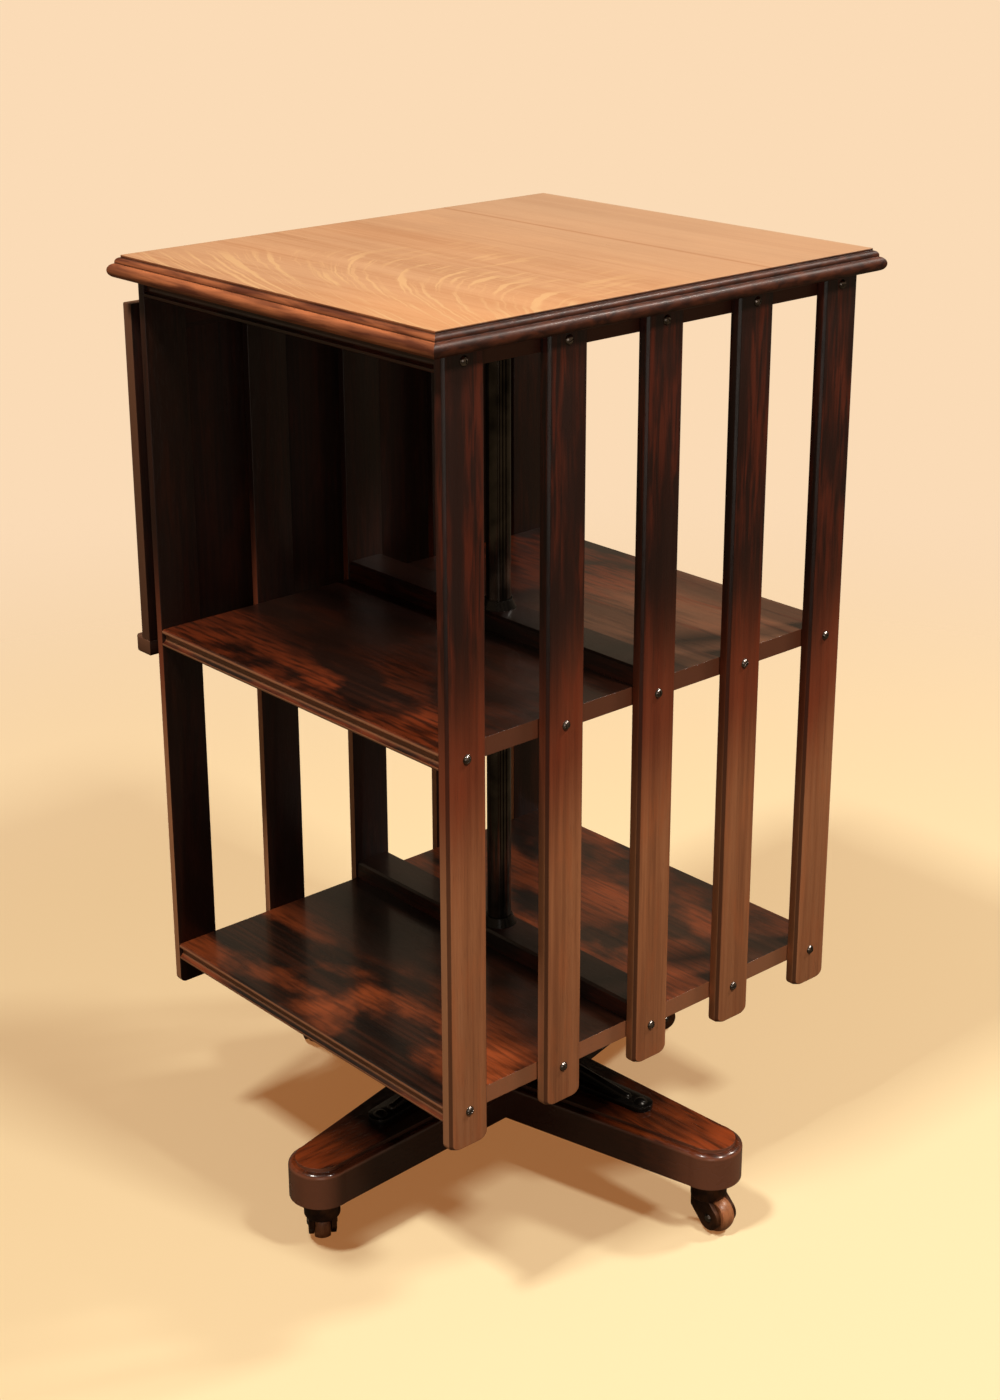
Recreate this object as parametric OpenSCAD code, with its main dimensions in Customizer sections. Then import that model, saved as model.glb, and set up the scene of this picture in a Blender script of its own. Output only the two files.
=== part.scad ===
// Revolving bookcase in two tiers: a slatted case that turns on an iron post
// over a cross base on castors, with a hinged book flap on its left side.
// Origin on the floor under the post, Z up, open faces along Y, slats along X.

/* [Case] */
// Width across the outer faces of the side slats
case_w = 394; // [340:1:440]
// Depth across the outer edges of the end slats
case_d = 457; // [400:1:500]
// Floor to the underside of the bottom shelf
shelf_height = 187; // [175:1:215]
// Clear height of the lower book tier
lower_tier_h = 292; // [260:1:330]
// Clear height of the upper book tier
upper_tier_h = 294; // [270:1:330]
// Thickness of the two shelves and of the carcass top
shelf_t = 16; // [14:0.5:20]
// Radius of the beads along an open shelf edge
shelf_bead_r = 2.5; // [1.5:0.1:3]
// Radius of the hollow between the two beads
shelf_hollow_r = 5; // [3.5:0.25:6]
// Depth of that hollow behind the beads
shelf_hollow_depth = 1.2; // [0.5:0.1:2]

/* [Top board] */
// Thickness of the top board
top_t = 19; // [17:0.5:24]
// Overhang of the moulded edge past the slats
top_over_side = 14; // [10:0.5:20]
// Overhang of the moulded edge past the open faces
top_over_open = 19.5; // [14:0.5:26]
// Height of the step between the flat and the bead
top_step = 2; // [1:0.25:3]
// Radius of the bead above the nose
top_bead_r = 4; // [2.5:0.25:5]
// Height of the quirk between the bead and the nose
top_quirk = 1; // [0.5:0.25:2]
// Set-back of the bead from the tip of the nose
top_bead_set = 5; // [3:0.25:7]

/* [Slats] */
// Width of a slat
slat_w = 41; // [34:1:52]
// Thickness of a slat
slat_t = 10; // [8:0.5:14]
// Chamfer along the outer edges of a slat
slat_chamfer = 2.5; // [1:0.25:4]
// Length of a slat below the bottom shelf
slat_drop = 24; // [14:1:32]
// Radius of the two lower corners of a slat
slat_corner_r = 6; // [3:0.5:10]

/* [Slat screws] */
// Radius of a domed screw head
screw_head_r = 4.2; // [3:0.1:5]
// Height of a domed screw head
screw_head_h = 2.8; // [1.8:0.1:3]
// Radius of the screw shank
screw_shank_r = 2.2; // [1.5:0.1:2.6]
// Length of the screw under its head
screw_len = 26; // [20:1:34]
// Width of the slot in a screw head
screw_slot_w = 1; // [0.6:0.1:1.4]
// Depth of the slot in a screw head
screw_slot_depth = 1.1; // [0.6:0.1:1.4]

/* [Centre rails] */
// Width of the book stop rail on each shelf
rail_w = 38; // [34:1:60]
// Height of the book stop rail
rail_h = 17; // [12:1:26]
// Chamfer along the top edges of the rail
rail_chamfer = 2; // [1:0.25:4]

/* [Post and bearings] */
// Diameter of the iron post
post_d = 22; // [18:1:26]
// Diameter of the post where it passes through the base
post_spigot_d = 16; // [12:1:17]
// Wall of the bearing bushes round the post
bush_wall = 3; // [2:0.25:4]
// Radius of the flared foot of a bush collar past its sleeve
collar_flare = 2; // [1:0.25:3]
// Height of the collar above the rail
collar_h = 8; // [5:0.5:12]
// Radius of the pivot cup flange
cup_flange_r = 30; // [26:1:40]
// Thickness of the pivot cup flange
cup_flange_t = 4; // [3:0.5:6]
// Wall of the pivot cup
cup_wall = 5; // [3:0.5:8]
// Depth of the pivot cup below its flange
cup_depth = 20; // [14:1:30]
// Chamfer on the upper end of the post
post_nose = 3; // [1:0.5:5]
// Width across the flats of the post nut
post_nut_af = 26; // [24:1:32]
// Height of the post nut
post_nut_h = 9; // [7:0.5:12]
// Radius of the washer above the post nut
post_washer_r = 20; // [18:0.5:26]
// Thickness of the washer above the post nut
post_washer_t = 3; // [2:0.5:4]

/* [Base] */
// Turn of the cross base against the case at rest
base_turn = 8.2; // [-20:0.2:20]
// Post axis to the centre of a rounded arm end
arm_reach = 241.5; // [220:0.5:270]
// Width of an arm at its rounded end
arm_end_w = 56.5; // [48:0.5:64]
// Width of a beam at the crossing
arm_mid_w = 102; // [90:1:114]
// Thickness of the beams
beam_t = 36.8; // [32:0.2:44]
// Radius of the ovolo along the top edge
edge_r = 4.6; // [3:0.2:6]
// Width of the fillet between the ovolo and the raised flat
edge_fillet = 1.8; // [0.6:0.2:3]
// Height of the step up to the raised flat
edge_step = 3.2; // [1:0.2:4]

/* [Iron spider] */
// Post axis to the centre of a spider pad
pad_reach = 165; // [140:1:175]
// Radius of a spider pad
pad_r = 11; // [9:0.5:15]
// Thickness of the spider arms and pads
spider_t = 5; // [4:0.5:8]
// Width of a spider arm beside the hub
spider_arm_w = 28; // [24:1:34]
// Width of the rib along a spider arm
rib_w = 8; // [5:0.5:10]
// Height of the rib at the hub, above the base
rib_hub_h = 28; // [20:1:32]
// Height of the rib at its outer end, above the base
rib_end_h = 8; // [6.5:0.5:12]
// Wall of the spider hub round the post
hub_wall = 10; // [7:0.5:14]
// Height of the spider hub above the base
hub_h = 36; // [32:1:48]
// Radius of a pad screw head
pad_screw_r = 6.5; // [4.5:0.25:7]
// Height of a pad screw head
pad_screw_h = 3.5; // [2.5:0.25:4]
// Radius of a pad screw shank
pad_shank_r = 2.6; // [2:0.1:3]
// Length of a pad screw under its head
pad_screw_len = 28; // [20:1:32]

/* [Castors] */
// Floor to the underside of the base
castor_h = 52; // [50:0.5:60]
// Diameter of a castor wheel
wheel_d = 32; // [28:1:34]
// Width of a castor wheel
wheel_w = 14; // [11:0.5:16]
// Radius of the crown across a wheel tread
wheel_crown_r = 14; // [9:0.5:24]
// Offset of the axle behind the swivel axis
castor_trail = 11; // [9:0.5:14]
// Radius of the cap of a castor horn
horn_r = 16; // [14.5:0.25:18]
// Height of the cap of a castor horn
horn_cap_h = 20; // [14:0.5:24]
// Thickness of a horn cheek
cheek_t = 4.5; // [3:0.25:6]
// Radius round the lower edge of the horn cap
horn_rim_r = 3; // [1.5:0.25:5]
// Width of a horn cheek below the cap
cheek_w = 20; // [16:0.5:22]
// Height of the shoulder of a horn cheek above the axle
cheek_shoulder = 5; // [2:0.5:8]
// Radius of a horn cheek round the axle
cheek_eye_r = 11.5; // [8:0.25:12.5]
// Gap between a wheel and a horn cheek
wheel_side_gap = 0.6; // [0.4:0.1:1]
// Gap between a wheel tread and the horn cap
wheel_top_gap = 1.5; // [1:0.1:2.5]
// Diameter of a castor axle
axle_d = 5; // [4:0.25:6]
// Radius of the riveted axle heads
axle_head_r = 4; // [3.5:0.25:5]
// Height of the riveted axle heads
axle_head_h = 1.5; // [1:0.25:2]
// Diameter of a castor stem
stem_d = 10; // [8:0.5:12]
// Length of a castor stem
stem_len = 22; // [16:1:24]
// Wall of the socket round a castor stem
socket_wall = 3; // [2:0.25:4]
// Radius of a socket flange
socket_flange_r = 15; // [13:0.5:18]
// Thickness of a socket flange
socket_flange_t = 2; // [1.5:0.25:3]
// Resting direction of each castor, front, right, back and left arm
castor_yaw = [146, 0, 75, 158]; // [-180:1:180]

/* [Book flap] */
// Gap between the left slats and the flap
flap_gap = 12.5; // [10:0.5:18]
// Thickness of the flap
flap_t = 13; // [10:0.5:18]
// Height of the flap above its ledge
flap_h = 302; // [240:1:330]
// Top board underside to the top of the flap
flap_drop = 25; // [22:0.5:40]
// Set-back of each flap end from the end slats
flap_inset = 1; // [0:0.5:20]
// Chamfer round the outer face of the flap
flap_chamfer = 1.5; // [0.5:0.25:4]
// Reach of the ledge past the outer face of the flap
ledge_reach = 14; // [10:0.5:22]
// Height of the ledge
ledge_h = 14; // [12:0.5:18]
// Radius of the ledge corners in plan
ledge_corner_r = 10; // [6:0.5:14]
// Radius along the ledge nose
ledge_nose_r = 3; // [1.5:0.25:5]

/* [Flap hinges] */
// End slat edge to the middle of the nearer flap hinge
hinge_inset = 78.5; // [50:0.5:130]
// Length of a hinge
hinge_len = 42; // [30:1:60]
// Height of a hinge leaf below the flap's top edge
hinge_leaf_h = 18; // [12:1:24]
// Thickness of a hinge leaf
hinge_leaf_t = 1.4; // [1:0.1:2]
// Radius of a hinge knuckle
knuckle_r = 3; // [2.6:0.1:4]
// Radius of a hinge pin
hinge_pin_r = 1.5; // [1:0.1:1.8]
// Height of the wooden rail that carries the hinges
hinge_rail_h = 25; // [18:1:40]
// End slat edge to the nearer end of that rail
hinge_rail_inset = 38.5; // [30:0.5:40]

/* [Fits] */
// Radial clearance of a running fit
running_gap = 0.05; // [0.01:0.01:0.1]
// Clearance between flat faces that swing past each other
swing_gap = 0.3; // [0.2:0.05:0.6]
// Radial clearance of a screw or axle in its hole
fit_gap = 0.1; // [0.02:0.02:0.2]

/* [Hidden] */
$fn = 64;
SLATS = 5;
CASTORS = 4;
SIDES = ["right", "left"];
// How far a cutting shape runs past the face it cuts
CUT_PAST = 1;
// Step in the resting angle of the screw slots
SCREW_TURN = 37;
// Web, end knob and foot of a spider rib as shares of its round back
RIB_WEB = 0.9;
RIB_KNOB = 1.1;
RIB_FOOT = 0.8;
// Angle at which the sides of an arm run into its rounded end
END_KINK = 10;
// Shares of the side's own width by which its strip starts inside and ends past the end's centre
STRIP_IN = 0.2;
STRIP_PAST = 0.08;
// Set-down of the side mouldings under those of the rounded ends
STRIP_DROP = 0.15;
// Set-back of an upright side under its ovolo
SIDE_SET = 0.05;
// Joint left round the crossing of the mouldings
CROSS_JOINT = 0.2;
// Reach of the halving cut past the half width of the crossing
LAP_REACH = 1.5;

half_w = case_w / 2;
half_d = case_d / 2;
slat_in = half_w - slat_t;
slat_pitch = (case_d - slat_w) / (SLATS - 1);
mid_shelf_z = shelf_height + shelf_t + lower_tier_h;
carcass_z = mid_shelf_z + shelf_t + upper_tier_h;
top_z = carcass_z + shelf_t;
shelf_zs = [shelf_height, mid_shelf_z, carcass_z];
top_half_x = half_w + top_over_side;
top_half_y = half_d + top_over_open;
nose_r = (top_t - top_step - top_bead_r - top_quirk) / 2;
slat_bottom = shelf_height - slat_drop;
slat_len = top_z - slat_bottom;

post_r = post_d / 2;
spigot_r = post_spigot_d / 2;
bush_r = post_r + bush_wall;
cup_r = post_r + cup_wall;
cup_bottom = carcass_z - cup_flange_t - cup_depth;
post_top = carcass_z - cup_flange_t;

base_top = castor_h + beam_t;
end_r = arm_end_w / 2;
mid_half = arm_mid_w / 2;
arm_diag = sqrt(pow(arm_reach, 2) + pow(mid_half, 2));
side_r = end_r * cos(END_KINK);
taper = atan(mid_half / arm_reach) - asin(side_r / arm_diag);
side_len = (arm_reach + side_r * sin(taper)) / cos(taper) + CUT_PAST;
edge_w = edge_r + edge_fillet;
lap_reach = mid_half * LAP_REACH;

hub_r = post_r + hub_wall;
rib_start = post_r + hub_wall / 2;
rib_stop = pad_reach - pad_r - rib_w / 2;
rib_run = rib_stop - rib_start;
rib_cap = rib_w / 2;
rib_slope = atan((rib_hub_h - rib_end_h) / rib_run);

wheel_r = wheel_d / 2;
axle_r = axle_d / 2;
stem_r = stem_d / 2;
socket_r = stem_r + socket_wall;
socket_len = stem_len + swing_gap;
horn_top = castor_h - socket_flange_t - swing_gap;
horn_cap_z = horn_top - horn_cap_h;
cheek_in = wheel_w / 2 + wheel_side_gap;
cheek_out = cheek_in + cheek_t;
axle_at = [castor_trail, wheel_r];

flap_in = half_w + flap_gap;
flap_out = flap_in + flap_t;
flap_top = top_z - flap_drop;
flap_bottom = flap_top - flap_h;
flap_half = half_d - flap_inset;
hinge_x = flap_in - hinge_leaf_t - swing_gap / 2;
hinge_z = flap_top + knuckle_r + swing_gap;
hinge_rail_t = flap_gap - 2 * hinge_leaf_t - swing_gap;
knuckle_len = (hinge_len - 2 * swing_gap) / 3;
hinge_ys = [hinge_inset - half_d, half_d - hinge_inset];
hinge_rail_half = half_d - hinge_rail_inset;

OAK = "#4f2a1a";
OAK_TOP = "#b87a45";
OAK_BASE = "#3d1e13";
IRON = "#221f1d";
STEEL = "#8d8983";
BRASS = "#8a6a35";
WHEEL = "#7d4622";

// Centre of slat i along Y
function slat_y(i) = -half_d + slat_w / 2 + (i - 1) * slat_pitch;

// Direction of arm i: front, right, back, left
function arm_angle(i) = base_turn - 180 + 90 * i;

// Swivel axis of castor i in plan
function castor_at(i) = [arm_reach * cos(arm_angle(i)), arm_reach * sin(arm_angle(i)), 0];

// Point where the line from p touches the circle round c, on the left (1) or right (-1)
function tangent_at(p, c, r, side) =
    let (d = norm(p - c), a = atan2(p[1] - c[1], p[0] - c[0]) - side * acos(r / d))
    c + r * [cos(a), sin(a)];

// Mirror image across the X axis plane for a part on the left side
module on_side(side) {
    mirror([side == "left" ? 1 : 0, 0, 0])
        children();
}

// Repeats a part on every arm of the base, at one distance from the post
module on_arms(reach) {
    for (i = [1:CASTORS])
        rotate([0, 0, arm_angle(i)])
            translate([reach, 0, 0])
                children();
}

// Domed head on the plane z = 0 with its shank below
module domed_screw(head_r, head_h, shank_r, len) {
    ball_r = (head_r * head_r + head_h * head_h) / (2 * head_h);
    intersection() {
        translate([0, 0, head_h - ball_r])
            sphere(r = ball_r);
        cylinder(r = head_r, h = head_h);
    }
    translate([0, 0, -len])
        cylinder(r = shank_r, h = len);
}

// Straight screw slot across a domed head of height head_h
module screw_slot(head_h, turn) {
    rotate([0, 0, turn])
        translate([-screw_head_r, -screw_slot_w / 2, head_h - screw_slot_depth])
            cube([2 * screw_head_r, screw_slot_w, head_h]);
}

// Section of the top board: flat, step, bead, quirk and rounded nose
module top_section(half) {
    nose_top = 2 * nose_r;
    bead_z = nose_top + top_quirk;
    bead_x = half - top_bead_set;
    flat_x = bead_x - top_bead_r;
    translate([-half + nose_r, 0])
        square([2 * (half - nose_r), nose_top]);
    translate([-bead_x, 0])
        square([2 * bead_x, bead_z]);
    translate([-flat_x, 0])
        square([2 * flat_x, top_t]);
    for (s = [-1, 1]) {
        translate([s * (half - nose_r), nose_r])
            circle(r = nose_r);
        translate([s * flat_x, bead_z])
            circle(r = top_bead_r);
    }
}

module top_board() {
    color(OAK_TOP)
        translate([0, 0, top_z])
            intersection() {
                translate([0, top_half_y, 0])
                    rotate([90, 0, 0])
                        linear_extrude(2 * top_half_y)
                            top_section(top_half_x);
                translate([-top_half_x, 0, 0])
                    rotate([90, 0, 90])
                        linear_extrude(2 * top_half_x)
                            top_section(top_half_y);
            }
}

// Section of a shelf across its open edges: two beads with a hollow between
module shelf_section() {
    body = half_d - shelf_bead_r;
    difference() {
        union() {
            translate([-body, 0])
                square([2 * body, shelf_t]);
            for (s = [-1, 1], z = [shelf_bead_r, shelf_t - shelf_bead_r])
                translate([s * body, z])
                    circle(r = shelf_bead_r);
        }
        for (s = [-1, 1])
            translate([s * (body + shelf_hollow_r - shelf_hollow_depth), shelf_t / 2])
                circle(r = shelf_hollow_r);
    }
}

// Shelf board at height z, drilled for the slat screws
module shelf_board(z) {
    difference() {
        translate([-slat_in, 0, z])
            rotate([90, 0, 90])
                linear_extrude(2 * slat_in)
                    shelf_section();
        for (s = SIDES, i = [1:SLATS])
            on_side(s)
                translate([half_w - screw_len - CUT_PAST, slat_y(i), z + shelf_t / 2])
                    rotate([0, 90, 0])
                        cylinder(r = screw_shank_r + fit_gap, h = screw_len);
    }
}

// Clear hole for a bearing bush, down through a rail and its shelf
module bush_hole(z) {
    translate([0, 0, z - CUT_PAST])
        cylinder(r = bush_r, h = shelf_t + rail_h + 2 * CUT_PAST);
}

module carcass_top() {
    color(OAK)
        shelf_board(carcass_z);
}

module middle_shelf() {
    color(OAK)
        difference() {
            shelf_board(mid_shelf_z);
            bush_hole(mid_shelf_z);
        }
}

module bottom_shelf() {
    color(OAK)
        difference() {
            shelf_board(shelf_height);
            bush_hole(shelf_height);
        }
}

// Book stop rail along X on the shelf whose underside is at z
module centre_rail(z) {
    half = rail_w / 2;
    difference() {
        translate([-slat_in, 0, z + shelf_t])
            rotate([90, 0, 90])
                linear_extrude(2 * slat_in)
                    polygon([
                        [-half, 0],
                        [half, 0],
                        [half, rail_h - rail_chamfer],
                        [half - rail_chamfer, rail_h],
                        [rail_chamfer - half, rail_h],
                        [-half, rail_h - rail_chamfer]
                    ]);
        bush_hole(z);
    }
}

module middle_rail() {
    color(OAK)
        centre_rail(mid_shelf_z);
}

module bottom_rail() {
    color(OAK)
        centre_rail(shelf_height);
}

// Bearing bush with a flared collar standing on the rail
module post_bush(z) {
    seat = shelf_t + rail_h;
    translate([0, 0, z])
        difference() {
            union() {
                cylinder(r = bush_r, h = seat);
                translate([0, 0, seat])
                    cylinder(r1 = bush_r + collar_flare, r2 = bush_r - bush_wall / 2, h = collar_h);
            }
            translate([0, 0, -CUT_PAST])
                cylinder(r = post_r + running_gap, h = seat + collar_h + 2 * CUT_PAST);
        }
}

module middle_bush() {
    color(IRON)
        post_bush(mid_shelf_z);
}

module bottom_bush() {
    color(IRON)
        post_bush(shelf_height);
}

// Flanged cup under the carcass top that turns on the end of the post
module pivot_cup() {
    color(IRON)
        difference() {
            union() {
                translate([0, 0, post_top])
                    cylinder(r = cup_flange_r, h = cup_flange_t);
                translate([0, 0, cup_bottom])
                    cylinder(r = cup_r, h = cup_depth);
            }
            translate([0, 0, cup_bottom - CUT_PAST])
                cylinder(r = post_r + running_gap, h = cup_depth + CUT_PAST);
        }
}

// Outline of a slat from its lower end, with rounded lower corners
module slat_outline() {
    half = slat_w / 2;
    translate([-half, slat_corner_r])
        square([slat_w, slat_len - slat_corner_r]);
    translate([slat_corner_r - half, 0])
        square([slat_w - 2 * slat_corner_r, slat_len]);
    for (s = [-1, 1])
        translate([s * (half - slat_corner_r), slat_corner_r])
            circle(r = slat_corner_r);
}

// Slat i of the right side, chamfered along its outer edges and drilled
module slat(i) {
    half = slat_w / 2;
    difference() {
        intersection() {
            translate([0, slat_y(i), slat_bottom])
                linear_extrude(slat_len)
                    polygon([
                        [slat_in, -half],
                        [half_w - slat_chamfer, -half],
                        [half_w, slat_chamfer - half],
                        [half_w, half - slat_chamfer],
                        [half_w - slat_chamfer, half],
                        [slat_in, half]
                    ]);
            translate([slat_in, slat_y(i), slat_bottom])
                rotate([90, 0, 90])
                    linear_extrude(slat_t)
                        slat_outline();
        }
        for (z = shelf_zs)
            translate([slat_in - CUT_PAST, slat_y(i), z + shelf_t / 2])
                rotate([0, 90, 0])
                    cylinder(r = screw_shank_r + fit_gap, h = slat_t + 2 * CUT_PAST);
    }
}

module side_slat(side, i) {
    color(OAK)
        on_side(side)
            slat(i);
}

// Slat screws of one side; each slot lies at its own angle
module slat_screws(side) {
    color(STEEL)
        on_side(side)
            for (i = [1:SLATS], k = [0:len(shelf_zs) - 1])
                translate([half_w, slat_y(i), shelf_zs[k] + shelf_t / 2])
                    rotate([0, 90, 0])
                        difference() {
                            domed_screw(screw_head_r, screw_head_h, screw_shank_r, screw_len);
                            screw_slot(screw_head_h, SCREW_TURN * (3 * i + k));
                        }
}

// Edge section of a beam between two depths, under the raised flat: side, ovolo and fillet
module beam_edge(inner, outer, drop) {
    ledge_z = beam_t - edge_step - drop;
    ovolo_z = ledge_z - edge_r;
    translate([inner, 0]) {
        square([outer - SIDE_SET - inner, ovolo_z]);
        square([outer - edge_r - inner, ledge_z]);
    }
    translate([outer - edge_r, ovolo_z])
        circle(r = edge_r);
}

// Half width of a beam at distance x from the crossing
function beam_half(x) = mid_half - x * tan(taper);

// Plan of a beam near the crossing, out to lap_reach, less a joint along its sides
module lap_plan(joint = 0) {
    far = beam_half(lap_reach) - joint;
    mid = mid_half - joint;
    polygon([
        [-lap_reach, -far],
        [0, -mid],
        [lap_reach, -far],
        [lap_reach, far],
        [0, mid],
        [-lap_reach, far]
    ]);
}

// One moulded side of an arm, from the mid plane of the crossing into the rounded end
module arm_side() {
    intersection() {
        translate([arm_reach, 0, 0])
            rotate([0, 0, -taper])
                translate([-side_len, 0, 0])
                    rotate([90, 0, 90])
                        linear_extrude(side_len + side_r * STRIP_PAST)
                            beam_edge(side_r * STRIP_IN, side_r, STRIP_DROP);
        translate([0, 0, -CUT_PAST])
            cube([arm_reach + end_r, mid_half + end_r, beam_t + 2 * CUT_PAST]);
    }
}

// Rounded end of an arm, which its two sides run into
module arm_end() {
    translate([arm_reach, 0, 0])
        rotate_extrude()
            beam_edge(0, end_r, 0);
}

// Plan of the raised flat of a beam
module flat_plan() {
    inset = edge_w / cos(taper);
    mid = mid_half - inset;
    far = beam_half(arm_reach) - inset;
    polygon([
        [-arm_reach, -far],
        [0, -mid],
        [arm_reach, -far],
        [arm_reach, far],
        [0, mid],
        [-arm_reach, far]
    ]);
    for (side = [-1, 1])
        translate([side * arm_reach, 0])
            circle(r = end_r - edge_w);
}

// Moulded beam along X with two tapered arms and rounded ends
module beam() {
    linear_extrude(beam_t)
        flat_plan();
    for (turn = [0, 180])
        rotate([0, 0, turn]) {
            arm_side();
            mirror([0, 1, 0])
                arm_side();
            arm_end();
        }
}

// Holes that a beam needs: post, spider screws and castor sockets
module beam_holes(reaches) {
    translate([0, 0, -CUT_PAST])
        cylinder(r = spigot_r, h = beam_t + 2 * CUT_PAST);
    for (turn = reaches)
        rotate([0, 0, turn]) {
            translate([pad_reach, 0, beam_t - pad_screw_len + spider_t])
                cylinder(r = pad_shank_r + fit_gap, h = pad_screw_len);
            translate([arm_reach, 0, -CUT_PAST])
                cylinder(r = socket_r, h = socket_len + CUT_PAST);
        }
}

// Lower beam, front to back, halved on top at the crossing
module base_beam_lower() {
    color(OAK_BASE)
        translate([0, 0, castor_h])
            rotate([0, 0, base_turn + 90])
                difference() {
                    beam();
                    translate([0, 0, beam_t / 2])
                        rotate([0, 0, 90])
                            linear_extrude(beam_t)
                                lap_plan();
                    beam_holes([0, 180]);
                }
}

// Upper beam, side to side, halved underneath, with the mitred crossing on top
module base_beam_upper() {
    color(OAK_BASE)
        translate([0, 0, castor_h])
            rotate([0, 0, base_turn])
                difference() {
                    union() {
                        difference() {
                            beam();
                            translate([0, 0, -beam_t / 2])
                                rotate([0, 0, 90])
                                    linear_extrude(beam_t)
                                        lap_plan();
                        }
                        intersection() {
                            rotate([0, 0, 90])
                                beam();
                            translate([0, 0, beam_t / 2])
                                linear_extrude(beam_t)
                                    lap_plan(CROSS_JOINT);
                        }
                    }
                    beam_holes([0, 180]);
                }
}

// Flat web of a spider arm, tapering from the hub to its pad
module spider_web() {
    linear_extrude(spider_t)
        polygon([
            [0, -spider_arm_w / 2],
            [pad_reach, -pad_r],
            [pad_reach, pad_r],
            [0, spider_arm_w / 2]
        ]);
    translate([pad_reach, 0, 0])
        cylinder(r = pad_r, h = spider_t);
}

// Rib on a spider arm: a web under a round back that falls from the hub to a knob
module spider_rib() {
    start_z = rib_hub_h - rib_cap;
    stop_z = rib_end_h - rib_cap;
    web_half = rib_cap * RIB_WEB;
    translate([0, web_half, 0])
        rotate([90, 0, 0])
            linear_extrude(2 * web_half)
                polygon([[rib_start, 0], [rib_stop, 0], [rib_stop, stop_z], [rib_start, start_z]]);
    translate([rib_start, 0, start_z])
        rotate([0, 90 + rib_slope, 0])
            cylinder(r = rib_cap, h = rib_run / cos(rib_slope));
    translate([rib_stop, 0, stop_z])
        sphere(r = rib_cap * RIB_KNOB);
    translate([rib_stop, 0, 0])
        cylinder(r = rib_cap * RIB_FOOT, h = stop_z);
}

// Cast-iron spider: hub round the post and four ribbed arms with screwed pads
module iron_spider() {
    color(IRON)
        translate([0, 0, base_top])
            difference() {
                union() {
                    cylinder(r = hub_r, h = hub_h);
                    translate([0, 0, hub_h])
                        cylinder(r1 = hub_r, r2 = post_r + hub_wall / 2, h = hub_wall / 2);
                    on_arms(0) {
                        spider_web();
                        spider_rib();
                    }
                }
                translate([0, 0, -CUT_PAST])
                    cylinder(r = post_r, h = hub_h + hub_wall + 2 * CUT_PAST);
                on_arms(pad_reach)
                    translate([0, 0, -CUT_PAST])
                        cylinder(r = pad_shank_r + fit_gap, h = spider_t + 2 * CUT_PAST);
            }
}

module spider_screws() {
    color(STEEL)
        translate([0, 0, base_top + spider_t])
            on_arms(pad_reach)
                domed_screw(pad_screw_r, pad_screw_h, pad_shank_r, pad_screw_len);
}

// Iron post standing on the base, with its spigot through the beams
module centre_post() {
    spigot_end = castor_h - post_washer_t - post_nut_h;
    color(IRON) {
        translate([0, 0, spigot_end])
            cylinder(r = spigot_r, h = base_top - spigot_end);
        translate([0, 0, base_top])
            cylinder(r = post_r, h = post_top - post_nose - base_top);
        translate([0, 0, post_top - post_nose])
            cylinder(r1 = post_r, r2 = post_r - post_nose, h = post_nose);
    }
}

module post_washer() {
    color(STEEL)
        translate([0, 0, castor_h - post_washer_t])
            difference() {
                cylinder(r = post_washer_r, h = post_washer_t);
                translate([0, 0, -CUT_PAST])
                    cylinder(r = spigot_r, h = post_washer_t + 2 * CUT_PAST);
            }
}

module post_nut() {
    color(STEEL)
        translate([0, 0, castor_h - post_washer_t - post_nut_h])
            difference() {
                cylinder(r = post_nut_af / 2 / cos(30), h = post_nut_h, $fn = 6);
                translate([0, 0, -CUT_PAST])
                    cylinder(r = spigot_r, h = post_nut_h + 2 * CUT_PAST);
            }
}

// Flanged socket let into the underside of an arm for a castor stem
module castor_socket() {
    difference() {
        union() {
            translate([0, 0, -socket_flange_t])
                cylinder(r = socket_flange_r, h = socket_flange_t);
            cylinder(r = socket_r, h = socket_len);
        }
        translate([0, 0, -socket_flange_t - CUT_PAST])
            cylinder(r = stem_r + running_gap, h = socket_flange_t + socket_len + 2 * CUT_PAST);
    }
}

module castor_sockets() {
    color(BRASS)
        translate([0, 0, castor_h])
            on_arms(arm_reach)
                castor_socket();
}

// Moves a part from the swivel frame, trailing along X, to castor i
module at_castor(i) {
    translate(castor_at(i))
        rotate([0, 0, castor_yaw[i - 1]])
            children();
}

// Side view of a horn cheek: from the cap past a shoulder to the eye round the axle
module cheek_outline() {
    root_z = horn_cap_z + horn_cap_h / 2;
    shoulder = [-cheek_w / 2, wheel_r + cheek_shoulder];
    front = [cheek_w / 2, horn_cap_z + horn_rim_r];
    polygon([
        [-cheek_w / 2, root_z],
        shoulder,
        tangent_at(shoulder, axle_at, cheek_eye_r, -1),
        axle_at,
        tangent_at(front, axle_at, cheek_eye_r, 1),
        front,
        [cheek_w / 2, root_z]
    ]);
    translate(axle_at)
        circle(r = cheek_eye_r);
}

// Half section of the horn cap and its stem
module horn_section() {
    translate([0, horn_cap_z]) {
        square([horn_r - horn_rim_r, horn_cap_h]);
        square([stem_r, horn_cap_h + stem_len]);
        translate([0, horn_rim_r])
            square([horn_r, horn_cap_h - horn_rim_r]);
        translate([horn_r - horn_rim_r, horn_rim_r])
            circle(r = horn_rim_r);
    }
}

// Room for the wheel between the cheeks of a horn
module wheel_room() {
    translate([castor_trail, 0, wheel_r])
        rotate([90, 0, 0])
            cylinder(r = wheel_r + wheel_top_gap, h = 2 * cheek_in, center = true);
    translate([-horn_r - CUT_PAST, -cheek_in, -CUT_PAST])
        cube([2 * horn_r + castor_trail + wheel_r, 2 * cheek_in, horn_cap_z + CUT_PAST]);
}

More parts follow.
